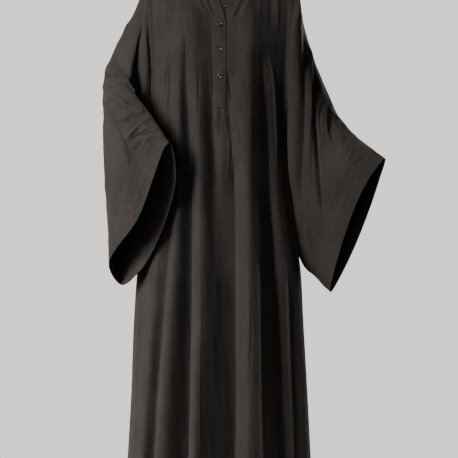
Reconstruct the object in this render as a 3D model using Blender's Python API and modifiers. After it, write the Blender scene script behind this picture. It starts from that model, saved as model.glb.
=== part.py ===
"""A long abaya, worn closed, with wide open sleeves and a short buttoned placket.

The cloth is built as thin walls in the form it takes on a wearer. Every size below is in
millimetres. The origin is between the shoulders: z = 0 at the neck ends of the shoulder
seams, the front faces -Y and the wearer's right arm is towards -X.
"""
import math

import bmesh
import bpy
import numpy as np
from mathutils import Vector

MM = 0.001

# ---- driving sizes --------------------------------------------------------
WALL = 2.0                 # cloth, turned hems included
TRIM_WALL = 1.5            # placket strips and neckband
SEAM_GAP = 0.3             # between neighbouring pieces
TOUCH = 0.01               # closer than this counts as on a line
NECK_HALF = 78.0           # centre to neck end of the shoulder seam
NECK_ROUND = 0.68          # lower is squarer
SHOULDER_HALF = 198.0      # centre to shoulder tip (dropped)
SHOULDER_DROP = 63.0
SHOULDER_ROUND = 80.0      # how far below the seam the shoulder rounds over
ARMPIT_HALF = 184.0
ARMPIT_Z = -480.0
ARMPIT_Y = 10.0            # side seams lie a little behind the middle
HEM_Z = -1450.0
FRONT_NECK_Z = -90.0
BACK_NECK_Z = -14.0
SLIT_SHUT_Z = -207.0       # above this the neck edges fall open
SLIT_SWING = 26.0          # how far the over-placket swings aside at the neck
SLIT_SPREAD = 38.0         # and how far the other edge moves away
PLACKET_WIDTH = 36.0
UNDER_LAP = 12.0           # under-placket hidden beyond each edge of the slit
BAND_HEIGHT = 14.0
BAND_LEAN = 0.55           # how far the band turns upright from the line of the body
BUTTON_RADIUS = 6.3
BUTTON_THICK = 2.6
BUTTON_HOLE = 0.85
BUTTON_HOLE_OUT = 1.7

# half widths and depths of the body, down its height
BODY_COLUMNS = ("z", "right", "left", "front", "back", "square")
BODY = (
    (20.0, 198.0, 198.0, 40.0, 48.0, 1.00),
    (-60.0, 198.0, 198.0, 62.0, 78.0, 1.00),
    (-150.0, 195.0, 195.0, 92.0, 98.0, 1.00),
    (-270.0, 191.0, 191.0, 114.0, 104.0, 0.95),
    (-400.0, 187.0, 187.0, 108.0, 98.0, 0.80),
    (-480.0, 184.0, 184.0, 104.0, 96.0, 0.66),
    (-570.0, 190.0, 189.0, 104.0, 98.0, 0.58),
    (-672.0, 198.0, 196.0, 106.0, 102.0, 0.55),
    (-775.0, 210.0, 209.0, 111.0, 108.0, 0.54),
    (-860.0, 222.0, 227.0, 116.0, 114.0, 0.53),
    (-1000.0, 230.0, 237.0, 124.0, 124.0, 0.52),
    (-1212.0, 242.0, 245.0, 136.0, 138.0, 0.52),
    (-1450.0, 254.0, 259.0, 150.0, 152.0, 0.52),
)

# Pipes: long folds that open towards the hem. Each fills the stretch from its own valley to
# the next one, rises over "rise" of it, is full until "crest" and is down again at "foot".
PIPE_COLUMNS = ("valley_high", "valley_hem", "start_z", "height", "rise", "crest", "foot")
FRONT_PIPES = (
    (-206.0, -262.0, -560.0, 12.0, 0.45, 0.55, 1.00),
    (-188.0, -236.0, -420.0, 24.0, 0.30, 0.52, 1.00),
    (-138.0, -184.0, -300.0, 34.0, 0.24, 0.46, 0.84),
    (-78.0, -80.0, -215.0, 42.0, 0.15, 0.30, 0.72),
    (38.0, 46.0, -215.0, 44.0, 0.16, 0.52, 0.80),
    (140.0, 156.0, -215.0, 36.0, 0.20, 0.50, 0.95),
    (186.0, 214.0, -430.0, 22.0, 0.30, 0.55, 1.00),
    (215.0, 262.0, -430.0, 0.0, 0.50, 0.50, 1.00),
)
BACK_PIPES = (
    (-206.0, -262.0, -520.0, 14.0, 0.45, 0.55, 1.00),
    (-170.0, -222.0, -380.0, 30.0, 0.28, 0.50, 0.95),
    (-112.0, -140.0, -300.0, 38.0, 0.22, 0.44, 0.84),
    (-42.0, -52.0, -260.0, 42.0, 0.20, 0.42, 0.80),
    (30.0, 36.0, -250.0, 40.0, 0.24, 0.50, 0.86),
    (104.0, 128.0, -300.0, 38.0, 0.22, 0.46, 0.88),
    (166.0, 212.0, -400.0, 26.0, 0.30, 0.52, 1.00),
    (215.0, 262.0, -430.0, 0.0, 0.50, 0.50, 1.00),
)
PIPE_HIGH_Z = -300.0

# Armhole loop, seen from the side (y, z); its plane leans from shoulder tip to armpit.
ARMHOLE = {
    "top": (0.0, -SHOULDER_DROP),
    "out_high": (70.0, -150.0),
    "out_low": (50.0, -400.0),
    "seam": (ARMPIT_Y, ARMPIT_Z),
    "in_low": (-44.0, -400.0),
    "in_high": (-66.0, -150.0),
}

# Sleeve rings from just past the armhole to the opening. Each ring is a closed smooth loop
# through six points: the top line, the back or outer layer, the underarm seam and the
# front or inner layer.
RING_COLUMNS = ("along", "top", "out_high", "out_low", "seam", "in_low", "in_high")
SLEEVE_RIGHT_RINGS = (
    (0.13, (-234, 2, -154), (-228, 56, -215), (-212, 50, -480), (-200, 14, -566),
     (-206, -22, -480), (-228, -56, -218)),
    (0.27, (-272, -3, -224), (-270, 44, -285), (-240, 50, -580), (-222, 18, -664),
     (-224, -12, -560), (-241, -66, -300)),
    (0.38, (-298, -14, -286), (-308, 26, -338), (-268, 44, -670), (-246, 20, -756),
     (-234, -20, -640), (-250, -76, -338)),
    (0.46, (-307, -46, -320), (-319, -8, -362), (-284, 28, -715), (-264, 14, -812),
     (-236, -30, -672), (-249, -88, -350)),
    (0.51, (-294, -68, -340), (-312, -40, -374), (-289, 8, -735), (-274, 2, -842),
     (-235, -38, -692), (-242, -95, -364)),
    (0.56, (-276, -90, -354), (-301, -84, -398), (-294, -22, -770), (-278, -16, -866),
     (-232, -46, -712), (-229, -101, -386)),
    (0.76, (-203, -136, -426), (-242, -162, -476), (-296, -66, -820), (-272, -42, -892),
     (-216, -70, -790), (-180, -116, -474)),
    (1.00, (-121, -188, -524), (-160, -214, -568), (-296, -94, -858), (-264, -66, -904),
     (-216, -86, -866), (-116, -154, -612)),
)
SLEEVE_LEFT_RINGS = (
    (0.14, (221, 2, -156), (218, 52, -220), (206, 52, -490), (198, 14, -568),
     (203, -28, -480), (214, -58, -225)),
    (0.29, (249, 4, -256), (250, 50, -315), (222, 54, -595), (210, 16, -670),
     (216, -24, -580), (238, -54, -325)),
    (0.45, (286, 8, -352), (288, 52, -405), (240, 56, -695), (221, 18, -776),
     (231, -18, -670), (268, -48, -412)),
    (0.58, (324, 4, -438), (330, 44, -488), (268, 54, -755), (241, 20, -848),
     (252, -16, -735), (294, -54, -480)),
    (0.70, (357, -34, -486), (362, -2, -528), (298, 42, -785), (264, 24, -884),
     (276, -22, -765), (320, -78, -515)),
    (0.84, (394, -96, -527), (397, -66, -568), (326, 16, -808), (286, 24, -908),
     (302, -34, -795), (354, -122, -560)),
    (1.00, (436, -168, -568), (424, -136, -622), (356, -26, -828), (306, 16, -927),
     (322, -50, -828), (398, -164, -615)),
)

# Larger creases, placed as seen from the front: a straight run from start to end, its half
# width and how far it stands out (or in). "face" is -1 on forward-facing cloth, 1 on cloth
# that faces back.
FOLD_COLUMNS = ("start_x", "start_z", "end_x", "end_z", "half_width", "height", "face")
FOLDS = {
    "front": (
        (-181, -130, -175, -275, 11, 8.0, -1), (-175, -275, -181, -450, 11, 8.0, -1),
        (-144, -190, -148, -420, 8, 3.0, -1), (-118, -200, -120, -440, 8, 3.0, -1),
        (176, -160, 168, -440, 14, 6.0, -1),
    ),
    "back": ((-150, -150, -160, -460, 14, 5.0, 1), (150, -150, 158, -460, 14, 5.0, 1)),
    "sleeve_right": (
        (-211, -130, -213, -400, 8, 9.0, -1), (-232, -190, -236, -260, 12, -9.0, -1),
        (-236, -260, -226, -310, 11, -8.0, -1), (-222, -180, -226, -320, 16, -7.0, 1),
    ),
    "sleeve_left": (
        (226, -330, 228, -800, 17, 11.0, -1), (256, -400, 258, -600, 15, -17.0, -1),
        (258, -600, 298, -800, 15, -13.0, -1), (290, -450, 322, -720, 14, 7.0, -1),
        (232, -240, 238, -560, 16, -8.0, 1), (270, -380, 286, -760, 18, 8.0, 1),
    ),
}

# grid densities
# Columns of each panel: from line, to line, how many steps between them.
BLOCKS = {
    "front": (("right edge", "right neck", 11), ("right neck", "placket", 8),
              ("placket", "slit first", 4), ("slit second", "left neck", 9),
              ("left neck", "left edge", 11)),
    "back": (("right edge", "right neck", 11), ("right neck", "left neck", 14),
             ("left neck", "left edge", 11)),
}
PLACKET_BLOCK, SLIT_BLOCK = 2, 3
BODY_ROWS_LOW = 14
ROW_PASSES = 8                    # rounds of settling a row on its leaning lines
RINGS_PER_STEP = 3
SLEEVE_SIDE = 16
NORMAL_PASSES = 3                  # smoothing of the sleeves' outward directions
LOOP_CROWDING = 0.5                # closer points round the two bends of a sleeve loop

BUTTONS = (("button_1", 14.2, -153.0), ("button_2", 0.0, -204.0),
           ("button_3", 0.0, -271.0), ("button_4", 0.0, -343.0))


# ---- curves ---------------------------------------------------------------
def hermite(keys, values, at):
    """Smooth curve through values (rows) given at keys, read at the places in at."""
    keys = np.asarray(keys, float)
    values = np.asarray(values, float).reshape(len(keys), -1)
    steps = np.diff(keys)[:, None]
    slopes = np.diff(values, axis=0) / steps
    tangents = np.empty_like(values)
    tangents[0], tangents[-1] = slopes[0], slopes[-1]
    weight = steps[1:] / (steps[1:] + steps[:-1])
    tangents[1:-1] = slopes[:-1] * weight + slopes[1:] * (1 - weight)
    at = np.clip(np.atleast_1d(np.asarray(at, float)), keys[0], keys[-1])
    i = np.clip(np.searchsorted(keys, at, side="right") - 1, 0, len(keys) - 2)
    span = (keys[i + 1] - keys[i])[:, None]
    t = (at - keys[i])[:, None] / span
    return ((2 * t**3 - 3 * t**2 + 1) * values[i] + (t**3 - 2 * t**2 + t) * span * tangents[i]
            + (3 * t**2 - 2 * t**3) * values[i + 1] + (t**3 - t**2) * span * tangents[i + 1])


def ease(t):
    """0 to 1 with soft ends."""
    t = np.clip(t, 0.0, 1.0)
    return t * t * (3 - 2 * t)


def along(points, fractions):
    """Points at the given fractions of a polyline's length."""
    steps = np.linalg.norm(np.diff(points, axis=0), axis=1)
    run = np.concatenate(([0.0], np.cumsum(steps))) / steps.sum()
    return np.stack([np.interp(fractions, run, points[:, k]) for k in range(points.shape[1])], 1)


def closed_loop(controls, side_count):
    """Smooth closed loop through six controls, side_count points down each side."""
    padded = np.concatenate([controls[-2:], controls, controls[:3]])
    chords = np.linalg.norm(np.diff(padded, axis=0), axis=1) ** 0.75
    keys = np.concatenate(([0.0], np.cumsum(chords)))
    dense = 40
    out = hermite(keys, padded, np.linspace(keys[2], keys[5], 3 * dense + 1))
    inner = hermite(keys, padded, np.linspace(keys[5], keys[8], 3 * dense + 1))
    even = np.linspace(0.0, 1.0, side_count + 1)
    fractions = even - LOOP_CROWDING * np.sin(2 * math.pi * even) / (2 * math.pi)
    return np.concatenate([along(out, fractions)[:-1], along(inner, fractions)[:-1]])


# ---- body -----------------------------------------------------------------
BODY_TABLE = {name: [row[i] for row in BODY][::-1] for i, name in enumerate(BODY_COLUMNS)}


def body_size(name, z):
    return hermite(BODY_TABLE["z"], BODY_TABLE[name], z)[:, 0]


def armhole_x(z):
    """Distance of the leaning armhole plane from the middle."""
    t = (-SHOULDER_DROP - z) / (-SHOULDER_DROP - ARMPIT_Z)
    return SHOULDER_HALF + (ARMPIT_HALF - SHOULDER_HALF) * t


def armhole_controls(side):
    """The armhole's six controls in space; side is -1 for the wearer's right."""
    return np.array([(side * armhole_x(z), y, z) for y, z in ARMHOLE.values()])


def armhole_halves(count):
    """The loop's front and back halves, each from the seam up to the top."""
    loop = closed_loop(armhole_controls(1), count)
    return np.concatenate([loop[count:], loop[:1]]), loop[:count + 1][::-1]


ARMHOLE_FRONT, ARMHOLE_BACK = armhole_halves(64)


def armhole_edge(front, z):
    """y of the armhole loop's front or back half at height z."""
    half = ARMHOLE_FRONT if front else ARMHOLE_BACK
    return np.interp(z, half[:, 2], half[:, 1])


def shoulder_z(x):
    """Height of the shoulder seam line above x, carried on over the neck."""
    return -SHOULDER_DROP * (np.abs(x) - NECK_HALF) / (SHOULDER_HALF - NECK_HALF)


def neck_z(x, front):
    """Height of the neck edge; the shoulder seam takes over beyond the neck."""
    depth = FRONT_NECK_Z if front else BACK_NECK_Z
    t = np.clip(np.abs(x) / NECK_HALF, 0.0, 1.0)
    return np.where(np.abs(x) < NECK_HALF, depth * (1 - t**2) ** NECK_ROUND, shoulder_z(x))


def pipe_height(x, z, pipes):
    """How far the long folds stand out at x, z."""
    drop = (PIPE_HIGH_Z - z) / (PIPE_HIGH_Z - HEM_Z)
    valleys = [row[0] + (row[1] - row[0]) * drop for row in pipes]
    total = np.zeros_like(x)
    for row, here, following in zip(pipes, valleys, valleys[1:]):
        _, _, start_z, height, rise, crest, foot = row
        t = (x - here) / (following - here)
        grown = np.clip((start_z - z) / (start_z - HEM_Z), 0.0, 1.0) ** 0.85
        shape = ease(t / rise) * (1 - ease((t - crest) / (foot - crest)))
        total += np.where((t > 0) & (t < 1), height * grown * shape, 0.0)
    return total


def fold_height(x, z, folds, face):
    """Sum of the creases that lie on cloth of one facing, at x, z."""
    total = np.zeros_like(x)
    for start_x, start_z, end_x, end_z, half_width, height, fold_face in folds:
        if fold_face != face:
            continue
        run_x, run_z = end_x - start_x, end_z - start_z
        length = math.hypot(run_x, run_z)
        t = ((x - start_x) * run_x + (z - start_z) * run_z) / length**2
        aside = ((x - start_x) * run_z - (z - start_z) * run_x) / length
        over = np.maximum(np.maximum(-t, t - 1), 0.0) * length / (2.5 * half_width)
        total += height * np.exp(-(aside / half_width) ** 2 - over**2)
    return total


def body_y(x, z, front):
    """y of the front or back panel's outer face."""
    half = np.where(x < 0, body_size("left", z), body_size("right", z))
    t = np.clip(np.abs(x) / half, 0.0, 1.0)
    across = (1 - t**2.5) ** body_size("square", z)
    rounding = np.clip((shoulder_z(x) - z) / SHOULDER_ROUND, 0.0, 1.0)
    shoulder = np.sqrt(1 - (1 - rounding) ** 2)
    depth = body_size("front" if front else "back", z) * shoulder
    depth = depth + pipe_height(x, z, FRONT_PIPES if front else BACK_PIPES) * np.sqrt(across)
    depth = depth + fold_height(x, z, FOLDS["front" if front else "back"], -1 if front else 1)
    edge = np.where(z > ARMPIT_Z, armhole_edge(front, z), ARMPIT_Y)
    edge = np.where(z > -SHOULDER_DROP, 0.0, edge)
    sign = -1.0 if front else 1.0
    return edge * (1 - across) + sign * depth * across


def slit_centre(z):
    """Middle line of the over-placket, which swings aside where the neck falls open."""
    return -SLIT_SWING * ease((z - SLIT_SHUT_Z) / (FRONT_NECK_Z - SLIT_SHUT_Z))


def slit_edges(z):
    """x of the slit's two edges at height z."""
    opened = ease((z - SLIT_SHUT_Z) / (FRONT_NECK_Z - SLIT_SHUT_Z))
    first = slit_centre(z) + PLACKET_WIDTH / 2 - 1.0
    second = PLACKET_WIDTH / 2 + 1.2 + SLIT_SPREAD * opened
    return first, second


def body_normals(x, z, front):
    """Outward direction of a body panel."""
    step = 1.0
    dx = (body_y(x + step, z, front) - body_y(x - step, z, front)) / (2 * step)
    dz = (body_y(x, z + step, front) - body_y(x, z - step, front)) / (2 * step)
    sign = -1.0 if front else 1.0
    normal = np.stack([-dx * sign, np.full_like(dx, sign), -dz * sign], -1)
    return normal / np.linalg.norm(normal, axis=-1, keepdims=True)


def seam_normals(x, z, front):
    """Outward directions along the armhole, side and shoulder seams, shared by both sides."""
    sign = -1.0 if front else 1.0
    side = np.sign(x)
    if z <= ARMPIT_Z + 1.0:
        return np.array([side, 0.0, 0.0])
    if z >= -SHOULDER_DROP - TOUCH:
        return np.array([0.0, 0.0, 1.0])
    rise = (armhole_edge(front, z + 1.0) - armhole_edge(front, z - 1.0)) / 2.0
    normal = np.array([0.0, sign, -rise * sign])
    return normal / np.linalg.norm(normal)


# ---- panels on a grid -----------------------------------------------------
# Rows above the armpit, as parts of the way down from the shoulder or neck edge.
LEVELS = (0.0, 0.025, 0.07, 0.13, 0.21, 0.30, 0.40, 0.50, 0.60, 0.70, 0.82, 0.864, 0.93, 1.0)
SLIT_LEVEL = LEVELS.index(0.82)
PLACKET_LEVEL = LEVELS.index(0.864)


def level_z(x, level, front):
    return neck_z(x, front) * (1 - level) + ARMPIT_Z * level


def row_heights(level_row, x, front):
    """Heights of one row of the grid at x: levels down to the armpit, then straight rows."""
    if level_row < len(LEVELS):
        return level_z(x, LEVELS[level_row], front)
    t = (level_row - len(LEVELS) + 1) / BODY_ROWS_LOW
    return np.full_like(x, ARMPIT_Z + (HEM_Z - ARMPIT_Z) * t**0.94)


def half_width(z, side):
    """Distance from the middle to the panel's edge: armhole above, side seam below."""
    low = body_size("left" if side < 0 else "right", z)
    return np.where(z > -SHOULDER_DROP, SHOULDER_HALF, np.where(z > ARMPIT_Z, armhole_x(z), low))


LINES = {
    "right edge": lambda z: -half_width(z, -1),
    "right neck": lambda z: -half_width(z, -1) * NECK_HALF / SHOULDER_HALF,
    "placket": lambda z: slit_centre(z) - PLACKET_WIDTH / 2,
    "slit first": lambda z: slit_edges(z)[0],
    "slit second": lambda z: slit_edges(z)[1],
    "left neck": lambda z: half_width(z, 1) * NECK_HALF / SHOULDER_HALF,
    "left edge": lambda z: half_width(z, 1),
}


def block_row(block, row, front):
    """x and z of one row of a block, found together because its lines lean."""
    first, last, steps = block
    part = np.linspace(0.0, 1.0, steps + 1)
    z = np.full(steps + 1, SLIT_SHUT_Z)
    for _ in range(ROW_PASSES):
        x = LINES[first](z) + (LINES[last](z) - LINES[first](z)) * part
        z = row_heights(row, x, front)
    return x, z


def panel_point(x, z, front, edge):
    """Outer point and outward direction of a body panel; edge marks its seam columns."""
    y = float(body_y(np.array([x]), np.array([z]), front)[0])
    normal = body_normals(np.array([x]), np.array([z]), front)[0]
    gap = SEAM_GAP / 2
    on_shoulder = abs(x) >= NECK_HALF - TOUCH and z >= shoulder_z(x) - TOUCH
    if on_shoulder:
        slope = SHOULDER_DROP / math.hypot(SHOULDER_DROP, SHOULDER_HALF - NECK_HALF)
        normal = np.array([math.copysign(slope, x), 0.0, math.sqrt(1 - slope**2)])
        y = 0.0
    if edge:
        normal = seam_normals(x, z, front)
        y = ARMPIT_Y if z <= ARMPIT_Z + TOUCH else (0.0 if on_shoulder else y)
    if edge or on_shoulder:
        if on_shoulder or z <= ARMPIT_Z + TOUCH:
            y += -gap if front else gap
        if edge and z > ARMPIT_Z - TOUCH:
            x -= math.copysign(gap, x)
    return np.array([x, y, z]), normal


def panel(front):
    """Grid of a body panel: points, directions, faces and the point numbers row by row."""
    blocks = BLOCKS["front" if front else "back"]
    points, normals, index = [], [], []
    for row in range(len(LEVELS) + BODY_ROWS_LOW):
        closed = front and row > SLIT_LEVEL
        ids = []
        for number, block in enumerate(blocks):
            x, z = block_row(block, row, front)
            for k in range(len(x)):
                at_slit = front and number == SLIT_BLOCK and k == 0
                if k == 0 and number > 0 and (not at_slit or closed):
                    if at_slit:
                        ids.append(ids[-1])
                    continue
                if closed and number == PLACKET_BLOCK and k == len(x) - 1:
                    x[k] = sum(slit_edges(z[k])) / 2
                edge = (number == 0 and k == 0) or (block is blocks[-1] and k == len(x) - 1)
                point, normal = panel_point(x[k], z[k], front, edge)
                ids.append(len(points))
                points.append(point)
                normals.append(normal)
        index.append(ids)
    slit_column = sum(block[2] for block in blocks[:SLIT_BLOCK]) if front else None
    faces = []
    for upper, lower in zip(index, index[1:]):
        for k in range(len(upper) - 1):
            if k != slit_column:
                quad = [upper[k], lower[k], lower[k + 1], upper[k + 1]]
                faces.append(quad if front else quad[::-1])
    return np.array(points), np.array(normals), faces, index


# ---- sleeves --------------------------------------------------------------
def sleeve_loops(rows, side):
    """Closed loops from the armhole to the opening, each side_count * 2 points."""
    keys = [0.0] + [row[0] for row in rows]
    armhole = armhole_controls(side)
    controls = [armhole] + [np.array(row[1:], float) for row in rows]
    table = np.array(controls).reshape(len(keys), -1)
    places = np.concatenate([np.linspace(a, b, RINGS_PER_STEP, endpoint=False)
                             for a, b in zip(keys, keys[1:])] + [[keys[-1]]])
    rings = hermite(keys, table, places).reshape(len(places), 6, 3)
    return np.array([closed_loop(ring, SLEEVE_SIDE) for ring in rings])


def sleeve(rows, side, folds):
    """Points, directions and faces of one sleeve."""
    loops = sleeve_loops(rows, side)
    loops[0, :, 0] += side * SEAM_GAP / 2
    around = np.roll(loops, -1, axis=1) - np.roll(loops, 1, axis=1)
    down = np.gradient(loops, axis=0)
    down[0] = [side, 0.0, 0.0]
    normals = np.cross(around, down) * side
    normals /= np.linalg.norm(normals, axis=-1, keepdims=True)
    for _ in range(NORMAL_PASSES):
        beside = np.roll(normals, 1, axis=1) + np.roll(normals, -1, axis=1)
        beside[1:-1] += normals[2:] + normals[:-2]
        normals[1:] += 0.5 * beside[1:]
        normals /= np.linalg.norm(normals, axis=-1, keepdims=True)
    settled = ease(np.arange(len(loops)) / 2.0)[:, None]
    for face in (-1, 1):
        facing = np.clip(normals[..., 1] * face * 1.6, 0.0, 1.0) * settled
        height = fold_height(loops[..., 0], loops[..., 2], folds, face) * facing
        loops = loops + normals * height[..., None]
    count, ring = loops.shape[:2]
    faces = []
    for r in range(count - 1):
        for k in range(ring):
            a, b = r * ring + k, r * ring + (k + 1) % ring
            quad = [a, b, b + ring, a + ring]
            faces.append(quad if side > 0 else quad[::-1])
    return loops.reshape(-1, 3), normals.reshape(-1, 3), faces


# ---- trim -----------------------------------------------------------------
def placket_grid(front):
    """Over-placket: the front's own points beside the slit, moved out."""
    points, normals, _, index = front
    first = sum(block[2] for block in BLOCKS["front"][:PLACKET_BLOCK])
    last = first + BLOCKS["front"][PLACKET_BLOCK][2]
    rows = [ids[first:last + 1] for ids in index[:PLACKET_LEVEL + 1]]
    ids = np.array(rows)
    lift = SEAM_GAP + TRIM_WALL
    out = points[ids] + normals[ids] * lift
    return grid_faces(out, normals[ids])


def under_placket_grid():
    """Under-placket: a strip behind both edges of the slit."""
    columns = 6
    out, directions = [], []
    for level in LEVELS[:PLACKET_LEVEL + 1]:
        z_middle = level_z(0.0, level, True)
        first, second = slit_edges(np.array([z_middle]))
        x = np.linspace(first[0] - UNDER_LAP, second[0] + UNDER_LAP, columns + 1)
        z = level_z(x, level, True)
        y = body_y(x, z, True)
        normal = body_normals(x, z, True)
        out.append(np.stack([x, y, z], -1) - normal * (WALL + 2 * SEAM_GAP))
        directions.append(normal)
    return grid_faces(np.array(out), np.array(directions))


def grid_faces(points, normals):
    """Faces of a plain rows-by-columns grid whose columns run towards +X on the front."""
    rows, columns = points.shape[:2]
    faces = [[r * columns + k, (r + 1) * columns + k, (r + 1) * columns + k + 1, r * columns + k + 1]
             for r in range(rows - 1) for k in range(columns - 1)]
    return points.reshape(-1, 3), normals.reshape(-1, 3), faces


def neck_edge(front, back):
    """Points and directions along both panels' neck edges, from the slit's far side round."""
    path, normal = [], []
    slit = sum(block[2] for block in BLOCKS["front"][:SLIT_BLOCK])
    corner = BLOCKS["front"][0][2]
    turn = sum(block[2] for block in BLOCKS["back"][:2])
    runs = ((front, range(slit + 1, slit + 2 + BLOCKS["front"][SLIT_BLOCK][2])),
            (back, range(turn - 1, BLOCKS["back"][0][2], -1)),
            (front, range(corner, slit + 1)))
    for (points, normals, _, index), columns in runs:
        for k in columns:
            point = points[index[0][k]].copy()
            if abs(point[0]) > NECK_HALF - TOUCH:
                point[1] = 0.0
            path.append(point)
            normal.append(normals[index[0][k]])
    return np.array(path), np.array(normal)


def neckband_grid(front, back):
    """Narrow band that carries the neck edge up, from one side of the slit round the back."""
    path, normal = neck_edge(front, back)
    run = np.gradient(path, axis=0)
    rise = np.cross(normal, run)
    rise /= np.linalg.norm(rise, axis=-1, keepdims=True)
    upright = rise + np.array([0.0, 0.0, BAND_LEAN])
    upright /= np.linalg.norm(upright, axis=-1, keepdims=True)
    rows, directions = [], []
    for reach, direction in ((2 * SEAM_GAP, rise), (BAND_HEIGHT / 2, upright), (BAND_HEIGHT, upright)):
        rows.append(path + rise * 2 * SEAM_GAP + direction * (reach - 2 * SEAM_GAP))
        facing = np.cross(run, direction)
        directions.append(facing / np.linalg.norm(facing, axis=-1, keepdims=True))
    return grid_faces(np.array(rows)[::-1], np.array(directions)[::-1])


# ---- objects --------------------------------------------------------------
def clear_scene():
    for item in list(bpy.data.objects):
        bpy.data.objects.remove(item)


def make_material(name, colour, roughness):
    material = bpy.data.materials.new(name)
    material.use_nodes = True
    shader = material.node_tree.nodes["Principled BSDF"]
    shader.inputs["Base Color"].default_value = (*colour, 1.0)
    shader.inputs["Roughness"].default_value = roughness
    shader.inputs["Metallic"].default_value = 0.0
    return material


def cloth(name, grid, wall, colour, collection):
    """A wall of cloth: the grid is its outer face and each point has a partner further in."""
    points, normals, faces = grid
    mesh = bpy.data.meshes.new(name)
    bm = bmesh.new()
    outer = [bm.verts.new(point * MM) for point in points]
    inner = [bm.verts.new((point - normal * wall) * MM) for point, normal in zip(points, normals)]
    open_edges = {}
    for face in faces:
        corners = [v for i, v in enumerate(face) if v != face[i - 1]]
        bm.faces.new([outer[v] for v in corners])
        bm.faces.new([inner[v] for v in reversed(corners)])
        for a, b in zip(corners, corners[1:] + corners[:1]):
            if open_edges.pop((b, a), None) is None:
                open_edges[a, b] = True
    for a, b in open_edges:
        bm.faces.new([outer[b], outer[a], inner[a], inner[b]])
    bmesh.ops.triangulate(bm, faces=bm.faces[:])
    bm.to_mesh(mesh)
    bm.free()
    mesh.shade_smooth()
    item = bpy.data.objects.new(name, mesh)
    item.data.materials.append(make_material(name, colour, 0.85))
    collection.objects.link(item)
    return item


def button_mesh(material, cutters):
    """A turned four-hole button lying on z = 0."""
    rim, face = BUTTON_THICK, BUTTON_THICK - 0.9
    profile = [(0.0, face), (3.9, face), (4.7, rim), (5.6, rim), (BUTTON_RADIUS, 1.7),
               (BUTTON_RADIUS, 0.9), (5.2, 0.0), (0.0, 0.0)]
    mesh = bpy.data.meshes.new("button profile")
    mesh.from_pydata([(x * MM, 0.0, z * MM) for x, z in profile],
                     [(i, i + 1) for i in range(len(profile) - 1)], [])
    blank = bpy.data.objects.new("button blank", mesh)
    cutters.objects.link(blank)
    turn = blank.modifiers.new("turn", "SCREW")
    turn.steps = turn.render_steps = 24
    turn.use_merge_vertices = True
    turn.merge_threshold = 0.00001
    drills = bmesh.new()
    for k in range(4):
        angle = math.pi / 4 + k * math.pi / 2
        made = bmesh.ops.create_cone(drills, cap_ends=True, segments=8, radius1=BUTTON_HOLE * MM,
                                     radius2=BUTTON_HOLE * MM, depth=3 * BUTTON_THICK * MM)
        shift = (BUTTON_HOLE_OUT * MM * math.cos(angle), BUTTON_HOLE_OUT * MM * math.sin(angle), 0.0)
        bmesh.ops.translate(drills, verts=made["verts"], vec=shift)
    drill_mesh = bpy.data.meshes.new("button holes")
    drills.to_mesh(drill_mesh)
    drills.free()
    drill = bpy.data.objects.new("button holes", drill_mesh)
    drill.hide_render = True
    drill.display_type = "WIRE"
    cutters.objects.link(drill)
    cut = blank.modifiers.new("holes", "BOOLEAN")
    cut.object = drill
    cut.operation = "DIFFERENCE"
    graph = bpy.context.evaluated_depsgraph_get()
    finished = bpy.data.meshes.new_from_object(blank.evaluated_get(graph))
    bpy.data.objects.remove(blank)
    bpy.data.objects.remove(drill)
    finished.materials.clear()
    finished.materials.append(material)
    return finished


def sew_buttons(collection, cutters):
    """Each button is seated just off the strip that carries it."""
    mesh = button_mesh(make_material("button", (0.012, 0.011, 0.011), 0.25), cutters)
    for name, x, z in BUTTONS:
        lift = -WALL - SEAM_GAP if name == "button_1" else 2 * SEAM_GAP + TRIM_WALL
        at_x, at_z = np.array([x]), np.array([z])
        normal = body_normals(at_x, at_z, True)[0]
        seat = np.array([x, body_y(at_x, at_z, True)[0], z]) + normal * lift
        item = bpy.data.objects.new(name, mesh)
        item.rotation_mode = "QUATERNION"
        item.rotation_quaternion = Vector(normal).to_track_quat("Z", "Y")
        item.location = Vector(seat) * MM
        collection.objects.link(item)


def build():
    clear_scene()
    collection = bpy.data.collections.new("abaya")
    cutters = bpy.data.collections.new("cutters")
    bpy.context.scene.collection.children.link(collection)
    bpy.context.scene.collection.children.link(cutters)
    charcoal = (0.042, 0.040, 0.039)
    front, back = panel(front=True), panel(front=False)
    cloth("front", front[:3], WALL, charcoal, collection)
    cloth("back", back[:3], WALL, charcoal, collection)
    cloth("sleeve_right", sleeve(SLEEVE_RIGHT_RINGS, -1, FOLDS["sleeve_right"]), WALL, charcoal, collection)
    cloth("sleeve_left", sleeve(SLEEVE_LEFT_RINGS, 1, FOLDS["sleeve_left"]), WALL, charcoal, collection)
    cloth("placket", placket_grid(front), TRIM_WALL, charcoal, collection)
    cloth("under_placket", under_placket_grid(), TRIM_WALL, charcoal, collection)
    cloth("neckband", neckband_grid(front, back), TRIM_WALL, charcoal, collection)
    sew_buttons(collection, cutters)


build()
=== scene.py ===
import math
import bmesh
import bpy
import numpy as np
from mathutils import Matrix, Vector


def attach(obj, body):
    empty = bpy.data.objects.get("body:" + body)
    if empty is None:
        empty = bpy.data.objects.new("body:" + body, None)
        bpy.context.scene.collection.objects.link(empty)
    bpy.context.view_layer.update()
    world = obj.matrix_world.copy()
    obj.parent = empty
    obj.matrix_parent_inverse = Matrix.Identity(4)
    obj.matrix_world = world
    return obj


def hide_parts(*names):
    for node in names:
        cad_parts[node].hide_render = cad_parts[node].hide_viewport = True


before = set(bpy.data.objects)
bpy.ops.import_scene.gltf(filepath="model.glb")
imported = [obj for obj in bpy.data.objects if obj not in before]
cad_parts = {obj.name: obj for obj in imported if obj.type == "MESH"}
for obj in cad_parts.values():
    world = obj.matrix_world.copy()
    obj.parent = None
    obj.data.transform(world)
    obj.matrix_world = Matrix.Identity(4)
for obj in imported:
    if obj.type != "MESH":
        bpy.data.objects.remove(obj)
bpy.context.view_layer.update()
mm = 0.001


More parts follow.
